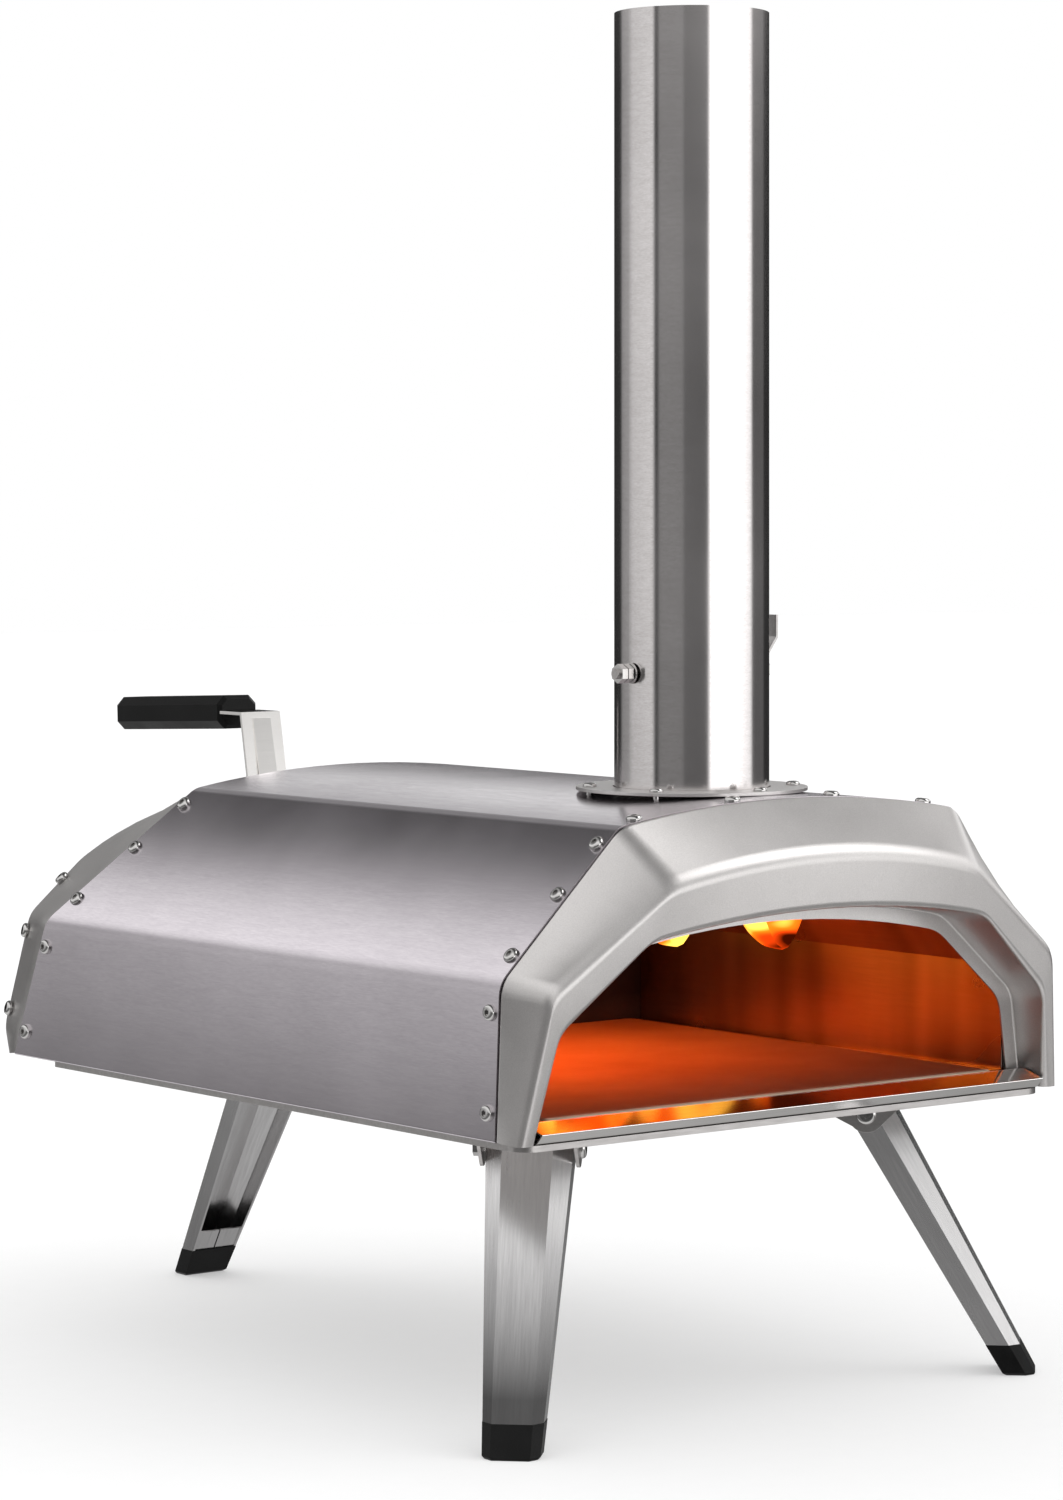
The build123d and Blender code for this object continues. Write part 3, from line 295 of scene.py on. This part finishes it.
def ceramic_fibre():
    """White felted insulation."""
    s = Surface("ceramic_fibre", Roughness=0.95)
    strands = s.noise(s.stretched((300, 120, 500)), 1.0, 4.0, 0.7)
    s.feed(s.shader.inputs["Base Color"], s.mix(strands, grey(0.70, 0.02), grey(0.88, 0.02)))
    s.bump(strands, 0.0006)
    return s.material


def black_polymer():
    """Moulded black nylon with a fine spark eroded grain."""
    s = Surface("black_polymer", Specular_IOR_Level=0.14)
    grain = s.noise(s.place, 1300.0, 2.0, 0.6)
    scuff = s.noise(s.place, 45.0, 4.0, 0.6)
    s.feed(s.shader.inputs["Base Color"], s.mix(s.remap(scuff, 0.4, 0.75, 0.0, 1.0),
                                                grey(0.003), grey(0.007)))
    s.feed(s.shader.inputs["Roughness"], s.remap(scuff, 0.3, 0.7, 0.38, 0.5))
    s.bump(grain, 0.00012)
    return s.material


MATERIALS = {
    "brushed_shell": shell_steel(),
    "satin_frame": satin_steel(),
    "chimney_steel": chimney_steel(),
    "plain_steel": plain_steel(),
    "polished_steel": polished_steel(),
    "inner_steel": inner_steel(),
    "bright_fastener": bright_fastener(),
    "ceramic_fibre": ceramic_fibre(),
    "cordierite": cordierite(),
    "black_polymer": black_polymer(),
}


def dress(thing, material):
    """Give a mesh object one material."""
    thing.data.materials.clear()
    thing.data.materials.append(material)


LEG_MATERIALS = {name + "_leg": leg_steel(name) for name in LEGS}


def material_of(node):
    return LEG_MATERIALS.get(node) or MATERIALS[SLOT_OF[node]]


for name, thing in frame["nodes"].items():
    for slot in thing.material_slots:
        slot.material = material_of(name)


# ---------------------------------------------------------------- pieces with rounded edges
def stand_for(piece, node):
    """The piece replaces a CAD node, on the same body and with the same finish."""
    dress(piece, material_of(node))
    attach(piece, BODY_OF[node])
    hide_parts(node)
    return piece


def edged(node, width, segments=3, angle=28.0):
    """Copy of a CAD node with its flat faces joined and its edges rounded."""
    shape = bmesh.new()
    shape.from_mesh(frame["nodes"][node].data)
    bmesh.ops.remove_doubles(shape, verts=shape.verts, dist=2e-6)
    bmesh.ops.dissolve_limit(shape, angle_limit=math.radians(0.6), verts=shape.verts, edges=shape.edges)
    mesh = bpy.data.meshes.new(node + "_edged")
    shape.to_mesh(mesh)
    shape.free()
    mesh.shade_smooth()
    piece = bpy.data.objects.new(node + "_edged", mesh)
    bpy.context.scene.collection.objects.link(piece)
    bevel = piece.modifiers.new("rounded edges", "BEVEL")
    bevel.width = width
    bevel.segments = segments
    bevel.limit_method = "ANGLE"
    bevel.angle_limit = math.radians(angle)
    piece.modifiers.new("flat faces", "WEIGHTED_NORMAL")
    return stand_for(piece, node)


# ---------------------------------------------------------------- formed sheets
def bend(before, corner, after, reach, steps):
    """Smooth bend in place of a corner; it starts and ends reach away from the corner."""
    back = before - corner
    ahead = after - corner
    start = corner + back.normalized() * min(reach, 0.48 * back.length)
    end = corner + ahead.normalized() * min(reach, 0.48 * ahead.length)
    points = []
    for k in range(steps + 1):
        t = k / steps
        points.append(start * (1 - t) ** 2 + corner * 2 * t * (1 - t) + end * t ** 2)
    return points


def smooth_path(corners, reaches, steps):
    """Path through the corners with a bend at each one that has a reach; the ends stay."""
    path = [corners[0]]
    for k in range(1, len(corners) - 1):
        if reaches[k] > 0:
            path += bend(corners[k - 1], corners[k], corners[k + 1], reaches[k], steps)
        else:
            path.append(corners[k])
    return path + [corners[-1]]


ROOF_SHARES = (0.0, 0.13, 0.26, 0.40, 0.54, 0.68, 0.80, 0.88)


def arch_row(side, crown, reaches, steps=5):
    """Points over an arch from its left foot to its right foot, in metres.

    side holds (x, y, z) of the right side in millimetres from the chimney's axis, from the foot to the
    upper bend; crown is (y, z). reaches gives the size of each bend in side, in millimetres.
    """
    x_knee, y_knee, z_knee = side[-1]
    y_top, z_top = crown
    rise = z_top - z_knee
    radius = (x_knee ** 2 + rise ** 2) / (2 * rise)
    roof = []
    for share in ROOF_SHARES:
        x = share * x_knee
        z = z_top - radius + math.sqrt(radius ** 2 - x ** 2)
        roof.append(Vector((x, y_knee + (y_top - y_knee) * (z - z_knee) / rise, z)))
    corners = roof + [Vector(point) for point in side[::-1]]
    half = smooth_path(corners, [0] * len(roof) + list(reaches[::-1]), steps)
    mirrored = [Vector((-p.x, p.y, p.z)) for p in half[:0:-1]]
    return [p * MM + AXIS for p in mirrored + half]


def columns(rows):
    """The transpose of a grid of points."""
    return [list(column) for column in zip(*rows)]


LONGEST_CELL = 14.0 * MM


def refined(rows):
    """The same grid with more points over an arch, so that no cell is long enough to twist."""
    grid = columns(rows)
    finer = [grid[0]]
    for before, after in zip(grid, grid[1:]):
        longest = max((q - p).length for p, q in zip(before, after))
        parts = math.ceil(longest / LONGEST_CELL)
        for k in range(1, parts + 1):
            finer.append([p.lerp(q, k / parts) for p, q in zip(before, after)])
    return columns(finer)


def grid_normals(rows, outward):
    """Unit normal at each point of a grid, on the side where outward(point) points."""
    count, width = len(rows), len(rows[0])
    normals = []
    for i in range(count):
        line = []
        for j in range(width):
            before, after = rows[max(i - 1, 0)][j], rows[min(i + 1, count - 1)][j]
            left, right = rows[i][max(j - 1, 0)], rows[i][min(j + 1, width - 1)]
            normal = (after - before).cross(right - left).normalized()
            line.append(normal)
        normals.append(line)
    i, j = count // 2, width // 2
    flip = normals[i][j].dot(outward) < 0
    return [[-n if flip else n for n in line] for line in normals]


def sheet(name, rows, thickness, outward, hole=None, shading=None):
    """Closed mesh of a formed sheet whose outer surface is the grid of points.

    hole(i, j) is true for cells that are left out. shading may hold other normals for the outer surface.
    """
    normals = grid_normals(rows, outward)
    count, width = len(rows), len(rows[0])
    vertices = [p for line in rows for p in line]
    for line, directions in zip(rows, normals):
        vertices += [p - n * thickness for p, n in zip(line, directions)]
    under = count * width
    kept = {(i, j) for i in range(count - 1) for j in range(width - 1) if not (hole and hole(i, j))}
    first = (vertices[width] - vertices[0]).cross(vertices[1] - vertices[0])
    flip = first.dot(normals[0][0]) < 0
    faces, outer_faces = [], 0
    for i, j in sorted(kept):
        a, b = i * width + j, i * width + j + 1
        c, d = (i + 1) * width + j + 1, (i + 1) * width + j
        quad = (a, d, c, b) if not flip else (a, b, c, d)
        faces.append(quad)
    outer_faces = len(faces)
    faces += [tuple(v + under for v in quad[::-1]) for quad in faces]
    borders = {"left": (0, -1), "right": (0, 1), "front": (-1, 0), "back": (1, 0)}
    for i, j in sorted(kept):
        a, b = i * width + j, i * width + j + 1
        c, d = (i + 1) * width + j + 1, (i + 1) * width + j
        edges = {"left": (d, a), "right": (b, c), "front": (a, b), "back": (c, d)}
        for side, (di, dj) in borders.items():
            if (i + di, j + dj) in kept:
                continue
            p, q = edges[side]
            wall = (p, q, q + under, p + under)
            faces.append(wall[::-1] if flip else wall)
    mesh = bpy.data.meshes.new(name)
    mesh.from_pydata(vertices, [], faces)
    mesh.update()
    shape = bmesh.new()
    shape.from_mesh(mesh)
    bmesh.ops.recalc_face_normals(shape, faces=shape.faces)
    shape.to_mesh(mesh)
    shape.free()
    mesh.shade_smooth()
    mesh.set_sharp_from_angle(angle=math.radians(50))
    used = shading or normals
    wanted = []
    for polygon in mesh.polygons:
        for index in polygon.loop_indices:
            v = mesh.loops[index].vertex_index
            if polygon.index < outer_faces:
                wanted.append(used[v // width][v % width])
            elif polygon.index < 2 * outer_faces:
                v -= under
                wanted.append(-normals[v // width][v % width])
            else:
                wanted.append(polygon.normal.copy())
    mesh.normals_split_custom_set([tuple(n) for n in wanted])
    piece = bpy.data.objects.new(name, mesh)
    bpy.context.scene.collection.objects.link(piece)
    return piece


# The arches below repeat the CAD's driving dimensions, in millimetres from the chimney's axis.
TUCK = 1.1
HALF_WIDTH, FOOT = 200.0, 170.0
KNEE_LOW = (196.8, 256.0)
KNEE_HIGH = (126.2, 338.5)
CROWN = 349.5
FRONT_Y, FRONT_TOP_Y = -70.0, -86.0
REAR_FOOT_Y, REAR_KNEE_Y, REAR_TOP_Y, BACK_Y = 418.5, 386.5, 326.0, 450.0


def front_y(z):
    share = min(max((z - KNEE_LOW[1]) / (KNEE_HIGH[1] - KNEE_LOW[1]), 0), 1)
    return FRONT_Y + share * (FRONT_TOP_Y - FRONT_Y)


def rear_y(z):
    if z < KNEE_LOW[1]:
        share = (KNEE_LOW[1] - z) / (KNEE_LOW[1] - FOOT)
        return REAR_KNEE_Y + share * (REAR_FOOT_Y - REAR_KNEE_Y)
    share = min((z - KNEE_LOW[1]) / (KNEE_HIGH[1] - KNEE_LOW[1]), 1)
    return REAR_KNEE_Y + share * (REAR_TOP_Y - REAR_KNEE_Y)


def shell_side(y_of_z, shift=0.0, inset=0.0, foot=FOOT, extra=()):
    """Right side of the shell's own arch, from the foot to the upper bend."""
    heights = [(HALF_WIDTH - inset, foot)]
    heights += [(HALF_WIDTH - inset - 0.5, z) for z in extra]
    heights += [(KNEE_LOW[0] - inset, KNEE_LOW[1] - 0.45 * inset),
                (KNEE_HIGH[0] - 0.5 * inset, KNEE_HIGH[1] - inset)]
    return [(x, y_of_z(z) + shift, z) for x, z in heights]


def blend_side(first, second, share):
    """Side line part of the way from one side line to another."""
    return [tuple(a + (b - a) * share for a, b in zip(p, q)) for p, q in zip(first, second)]


CHIMNEY_GAP = 46.2               # half side of the gap for the chimney, hidden under its collar


def outer_shell():
    """Folded outer shell with rounded bends, a turned in foot and room for the chimney's sleeve."""
    front, rear = [[(HALF_WIDTH - 13.0, side[0][1], FOOT)] + side
                   for side in (shell_side(front_y), shell_side(rear_y))]
    reaches = [0.0, 1.5, 7.0, 4.0]
    rows = []
    for y in (FRONT_TOP_Y, -CHIMNEY_GAP, CHIMNEY_GAP, REAR_TOP_Y):
        share = (y - FRONT_TOP_Y) / (REAR_TOP_Y - FRONT_TOP_Y)
        rows.append(arch_row(blend_side(front, rear, share), (y, CROWN), reaches))
    rows = refined(rows)
    over_gap = [j for j, p in enumerate(rows[1]) if abs(p.x) < (CHIMNEY_GAP + 1) * MM and p.z > 0.3]
    piece = sheet("outer_shell_folded", rows, 1.0 * MM, Vector((0, 0, 1)),
                  hole=lambda i, j: i == 1 and over_gap[0] <= j < over_gap[-1],
                  shading=crowned(rows, grid_normals(rows, Vector((0, 0, 1)))))
    return stand_for(piece, "outer_shell")


SIDE_CROWN = math.radians(4.0)
SHOULDER_CROWN = math.radians(9.0)


def crowned(rows, normals):
    """Normals of a sheet whose sides and shoulders are slightly crowned between their bends."""
    foot, low, high = FOOT * MM, KNEE_LOW[1] * MM, KNEE_HIGH[1] * MM
    changed = []
    for points, directions in zip(rows, normals):
        line = []
        for p, n in zip(points, directions):
            share = (p.z - low) / (high - low)
            crown = SHOULDER_CROWN
            if abs(n.z) < 0.1:
                share = (p.z - foot) / (low - foot)
                crown = SIDE_CROWN
            if -0.03 < share < 1.03 and abs(n.z) < 0.9:
                offset = (min(max(share, 0), 1) * 2 - 1) * crown
                angle = math.atan2(n.z, abs(n.x)) + offset
                side = math.copysign(1, n.x)
                n = Vector((side * math.cos(angle), n.y, math.sin(angle))).normalized()
            line.append(n)
        changed.append(line)
    return changed


TUCKED_FOOT, FRAME_FOOT = 172.0, 170.6


CHEEK_TILT = 0.22


def leaned(normals):
    """Normals of the frame with its upright cheeks leaning slightly down, as their draft makes them look."""
    changed = []
    for line in normals:
        shares = [min(max((abs(n.x) - 0.6) / 0.3, 0), 1) for n in line]
        changed.append([(n - Vector((0, 0, CHEEK_TILT * share))).normalized() for n, share in zip(line, shares)])
    return changed


def front_frame():
    """Deep formed frame round the mouth: crest, rounded rim and an inner fold."""
    lines = [
        (shell_side(front_y, 14.0, TUCK, TUCKED_FOOT), (FRONT_TOP_Y + 14.0, CROWN - TUCK), 0.0),
        (shell_side(front_y, -0.5, 2 * TUCK, TUCKED_FOOT), (FRONT_TOP_Y - 0.5, CROWN - 2 * TUCK), 0.2),
        (shell_side(front_y, -1.9, -0.3, FRAME_FOOT), (FRONT_TOP_Y - 1.9, CROWN + 0.3), 1.5),
        ([(203.6, -96.0, FRAME_FOOT), (189.0, -107.0, 254.0), (112.4, -118.9, 307.8)], (-123.0, 321.7), 7.0),
        ([(191.9, -95.6, FRAME_FOOT), (182.1, -105.4, 229.6), (126.0, -115.0, 277.0)], (-122.0, 289.0), 4.0),
        ([(191.0, -76.2, FRAME_FOOT), (183.5, -76.2, 227.0), (127.5, -76.2, 275.0)], (-76.2, 288.0), 1.5),
        ([(181.0, -76.2, FRAME_FOOT), (174.0, -76.2, 223.0), (124.0, -76.2, 266.0)], (-76.2, 279.0), 0.0),
    ]
    arches = [arch_row(side, crown, [0.0, 8.0, 8.0]) for side, crown, _ in lines]
    reaches = [reach * MM for _, _, reach in lines]
    rows = refined(columns([smooth_path(column, reaches, 5) for column in columns(arches)]))
    up = Vector((0, 0, 1))
    piece = sheet("front_frame_formed", rows, 1.2 * MM, up, shading=leaned(grid_normals(rows, up)))
    return stand_for(piece, "front_frame")


def front_sill():
    """Polished sill: a slope up to the stone, a rounded nose and a hem that leans back under it."""
    profile = [(-80.7, 171.6), (-80.7, 181.0), (-98.0, 176.4), (-92.5, 170.7), (-84.0, 170.7)]
    ends = []
    for x in (-188.9, 188.9):
        corners = [Vector((x, y, z)) for y, z in profile]
        ends.append([p * MM + AXIS for p in smooth_path(corners, [0.0, 0.25, 0.9, 1.2, 0.0], 6)])
    piece = sheet("front_sill_folded", ends, 1.0 * MM, Vector((0, -0.3, 1)))
    return stand_for(piece, "front_sill")


def cap_side(inset, y):
    return [(184.2 - inset, y, 166.5), (187.7 - inset, y, 184.6),
            (169.0 - 0.9 * inset, y, 254.5 - 0.45 * inset), (131.0 - 0.6 * inset, y, 287.0 - 0.8 * inset)]


HATCH_Y = (372.0, 436.0)
HATCH_SHARE = 0.405


def rear_cap():
    """Tapered hood behind the shell, with the hatch opening in its roof."""
    foot, low = 171.2, 184.6
    inside = (shell_side(rear_y, -14.0, TUCK, foot, (low,)), (REAR_TOP_Y - 14.0, CROWN - TUCK))
    edge = (shell_side(rear_y, 0.0, TUCK, foot, (low,)), (REAR_TOP_Y, CROWN - TUCK))
    back = (cap_side(0.0, BACK_Y), (BACK_Y, 325.0))
    flange = (cap_side(14.0, BACK_Y), (BACK_Y, 311.0))
    reaches = [0.0, 6.0, 6.0, 5.0]
    rows = [arch_row(side, crown, reaches) for side, crown in (inside, edge)]
    for y in HATCH_Y:
        share = (y - REAR_TOP_Y) / (BACK_Y - REAR_TOP_Y)
        crown = tuple(a + (b - a) * share for a, b in zip(edge[1], back[1]))
        rows.append(arch_row(blend_side(edge[0], back[0], share), crown, reaches))
    rear = [arch_row(side, crown, reaches) for side, crown in (back, flange)]
    corner = columns([bend(rows[-1][j], rear[0][j], rear[1][j], 2.0 * MM, 4) for j in range(len(rear[0]))])
    rows = refined(rows + corner + [rear[1]])
    first = min(j for j, p in enumerate(rows[2]) if abs(p.x) < 53 * MM and p.z > 0.3)
    last = max(j for j, p in enumerate(rows[2]) if abs(p.x) < 53 * MM and p.z > 0.3)
    piece = sheet("rear_cap_formed", rows, 1.2 * MM, Vector((0, 0, 1)),
                  hole=lambda i, j: i == 2 and first <= j < last)
    return stand_for(piece, "rear_cap")


outer_shell()
front_frame()
rear_cap()
front_sill()
for name in LEGS:
    edged(name + "_leg", 0.5 * MM)
    edged(name + "_foot_cap", 0.9 * MM)
    edged(name + "_leg_bracket", 0.5 * MM)
edged("hatch_handle_grip", 1.2 * MM)
edged("hatch_handle_strap", 0.45 * MM)
edged("chimney_collar", 0.6 * MM)
edged("base_tray", 0.35 * MM)
edged("fuel_hatch", 0.35 * MM)
edged("tray_pull", 0.5 * MM)
edged("fuel_tray", 0.35 * MM)


# ---------------------------------------------------------------- studio
CAMERA_PLACE = Vector((-1.6772, -1.9606, 0.5203))       # from the chimney's axis on the ground
CAMERA_TURN = math.radians(-38.48)
LENS = 106.59                                            # for a 36 mm sensor on the picture's long side
SHIFT_UP = -0.1699


def camera():
    data = bpy.data.cameras.new("camera")
    data.sensor_width = 36.0
    data.lens = LENS
    data.shift_y = SHIFT_UP
    data.clip_end = 60.0
    thing = bpy.data.objects.new("camera", data)
    thing.location = CAMERA_PLACE + AXIS
    thing.rotation_euler = (math.radians(90), 0, CAMERA_TURN)
    bpy.context.scene.collection.objects.link(thing)
    bpy.context.scene.camera = thing


def floor():
    """Pale floor; mirrors in the steel show the studio's own lower half instead of it."""
    s = Surface("floor", Roughness=0.5, Specular_IOR_Level=0.0)
    tooth = s.noise(s.place, 60.0, 3.0, 0.5)
    s.feed(s.shader.inputs["Base Color"], s.mix(tooth, grey(0.57), grey(0.59)))
    s.shader.inputs["Emission Color"].default_value = grey(1.0)
    s.shader.inputs["Emission Strength"].default_value = 0.38
    mesh = bpy.data.meshes.new("floor")
    size = 12.0
    mesh.from_pydata([(-size, -size, 0), (size, -size, 0), (size, size, 0), (-size, size, 0)], [], [(0, 1, 2, 3)])
    thing = bpy.data.objects.new("floor", mesh)
    dress(thing, s.material)
    thing.visible_glossy = False
    bpy.context.scene.collection.objects.link(thing)


# Brightness of the studio near the horizon: degrees from the camera, to its right, and level.
HORIZON = [
    (-180, 0.02), (-134, 0.03), (-127, 0.28), (-112, 0.34), (-100, 0.60), (-62, 0.72),
    (-58, 0.03), (-54, 0.03), (-51, 0.22), (-16, 0.21), (-12, 0.115), (22, 0.10),
    (26, 1.8), (60, 1.9), (96, 1.1), (101, 0.10), (131, 0.11), (134, 0.03), (180, 0.02),
]
# Brightness above and below it, round the oven's own length: degrees up from the left, and level.
AROUND = [(-180, 1.3), (-165, 0.8), (-150, 0.15), (-100, 0.80), (-60, 1.0), (-34, 0.16), (-9, 0.26), (5, 0.62),
          (25, 1.0), (56, 1.30), (64, 1.05), (71, 0.62), (77, 0.30), (83, 0.13), (90, 0.08),
          (104, 0.12), (114, 0.30), (135, 0.34), (147, 0.34), (157, 0.80), (168, 2.0), (180, 2.0)]
# How bright the horizon is at each elevation, in degrees.
SLOPE = [(-8, 0.70), (-3, 1.15), (6, 1.35)]
# A softbox above the front of the oven: its direction, the cosine where it starts and ends, and its level.
SOFTBOX = (0.587, -0.435, 0.683)
SOFTBOX_EDGE = (0.93, 0.965)
SOFTBOX_LEVEL = 3.0


class World(Surface):
    """The studio, drawn as a world shader with the same helpers as the materials."""

    def __init__(self):
        self.world = bpy.data.worlds.new("studio")
        self.world.use_nodes = True
        self.tree = self.world.node_tree
        self.place = self.node("TexCoord").outputs["Generated"]

    def along(self, direction):
        """Cosine between the ray and a direction."""
        inputs = {0: self.place, 1: direction}
        return self.node("VectorMath", inputs, operation="DOT_PRODUCT").outputs["Value"]


def studio():
    """White for the camera, soft white for matt surfaces, and a banded studio for mirrors."""
    w = World()
    back = Vector((-math.sin(-CAMERA_TURN), -math.cos(-CAMERA_TURN), 0))
    right = Vector((math.cos(CAMERA_TURN), math.sin(CAMERA_TURN), 0))
    turn = w.maths("ARCTAN2", w.along(right), w.along(back))
    bands = w.ramp(w.remap(turn, -math.pi, math.pi, 0.0, 1.0),
                   [((angle + 180) / 360, grey(level / 2)) for angle, level in HORIZON])
    rise = w.remap(w.maths("ARCSINE", w.along((0, 0, 1))), -math.pi / 2, math.pi / 2, 0.0, 1.0)
    slope = w.ramp(rise, [((angle + 90) / 180, grey(level / 2)) for angle, level in SLOPE])
    bands = w.mix(1.0, bands, slope, "MULTIPLY")
    bands = w.mix(1.0, bands, grey(2.0), "MULTIPLY")
    round_length = w.maths("ARCTAN2", w.along((0, 0, 1)), w.along((-1, 0, 0)))
    around = w.ramp(w.remap(round_length, -math.pi, math.pi, 0.0, 1.0),
                    [((angle + 180) / 360, grey(level / 2)) for angle, level in AROUND])
    near = w.ramp(rise, [((angle + 90) / 180, grey(level)) for angle, level in
                         ((-14, 0), (-9, 1), (7, 1), (11, 0))])
    softbox = w.remap(w.along(SOFTBOX), *SOFTBOX_EDGE, 0.0, SOFTBOX_LEVEL / 2)
    around = w.mix(1.0, around, softbox, "ADD")
    mirror = w.mix(near, around, bands)
    mirror = w.node("VectorMath", {0: mirror, 1: (2.0, 2.0, 2.0)}, operation="MULTIPLY").outputs[0]
    path = w.node("LightPath")
    light = w.mix(path.outputs["Is Diffuse Ray"], mirror, grey(1.12))
    light = w.mix(path.outputs["Is Camera Ray"], light, grey(1.0))
    shader = w.tree.nodes["Background"]
    w.feed(shader.inputs["Color"], light)
    bpy.context.scene.world = w.world


FLAMES_X, FLAMES_Y = (-150.0, 110.0), (20.0, 220.0)     # millimetres from the chimney's axis
FLAMES_Z = 289.0
FLAME_STEPS = 60
FIRE_STRENGTH = 2.2


def flames():
    """Sheet of fire rolling under the chamber's ceiling, for the photograph only."""
    s = Surface("fire", Roughness=1.0)
    heat = s.noise(s.stretched((22, 12, 40)), 1.0, 2.0, 0.5)
    heat = s.maths("ADD", heat, s.remap(s.height(), 0.258, 0.284, 0.12, -0.05))
    colour = s.ramp(heat, [(0.42, rgb(0.03, 0.002, 0.0)), (0.49, rgb(0.55, 0.035, 0.002)),
                           (0.56, rgb(0.95, 0.15, 0.006)), (0.63, rgb(1.0, 0.60, 0.08))])
    path = s.node("LightPath")
    seen = path.outputs["Is Camera Ray"]
    glow = s.mix(path.outputs["Is Glossy Ray"], rgb(1.0, 0.45, 0.5), rgb(1.0, 0.80, 0.6))
    glow = s.mix(1.0, s.mix(1.0, colour, rgb(0.16, 0.014, 0.001), "ADD"), glow, "MULTIPLY")
    s.feed(s.shader.inputs["Emission Color"], s.mix(seen, glow, colour))
    depth = s.remap(s.along_axis(1), AXIS.y + 0.03, AXIS.y + 0.20, 0.55, 1.7)
    side = s.remap(s.along_axis(0), -0.15, 0.11, 2.3, 0.6)
    strength = s.maths("MULTIPLY", depth, s.maths("MULTIPLY", side, FIRE_STRENGTH))
    s.feed(s.shader.inputs["Emission Strength"], s.mix_value(seen, strength, FIRE_STRENGTH))
    s.shader.inputs["Base Color"].default_value = grey(0.0)
    s.shader.inputs["Specular IOR Level"].default_value = 0.0
    rows = []
    for i in range(FLAME_STEPS + 1):
        x = FLAMES_X[0] + (FLAMES_X[1] - FLAMES_X[0]) * i / FLAME_STEPS
        line = []
        for j in range(FLAME_STEPS + 1):
            y = FLAMES_Y[0] + (FLAMES_Y[1] - FLAMES_Y[0]) * j / FLAME_STEPS
            swell = math.sin(x / 13.0 + 1.3 * math.sin(y / 21.0)) * math.sin(y / 30.0 + 0.8)
            sag = 32.0 * max(swell, 0.0) + 0.0009 * x ** 2
            line.append(Vector((x, y, FLAMES_Z - sag)) * MM + AXIS)
        rows.append(line)
    thing = sheet("flames", rows, 1.0 * MM, Vector((0, 0, 1)))
    dress(thing, s.material)


def flag():
    """Black card across the mouth that keeps the studio's white light out of the chamber."""
    s = Surface("flag", Roughness=1.0, Specular_IOR_Level=0.0)
    s.shader.inputs["Base Color"].default_value = grey(0.0)
    half, low, high, y = 190.0, 182.0, 290.0, -74.0
    corners = [(-half, y, low), (half, y, low), (half, y, high), (-half, y, high)]
    mesh = bpy.data.meshes.new("flag")
    mesh.from_pydata([Vector(corner) * MM + AXIS for corner in corners], [], [(0, 1, 2, 3)])
    thing = bpy.data.objects.new("flag", mesh)
    dress(thing, s.material)
    thing.visible_camera = False
    thing.visible_glossy = False
    thing.visible_transmission = False
    bpy.context.scene.collection.objects.link(thing)


camera()
floor()
studio()
flames()
flag()
bpy.context.scene.view_settings.view_transform = "Standard"
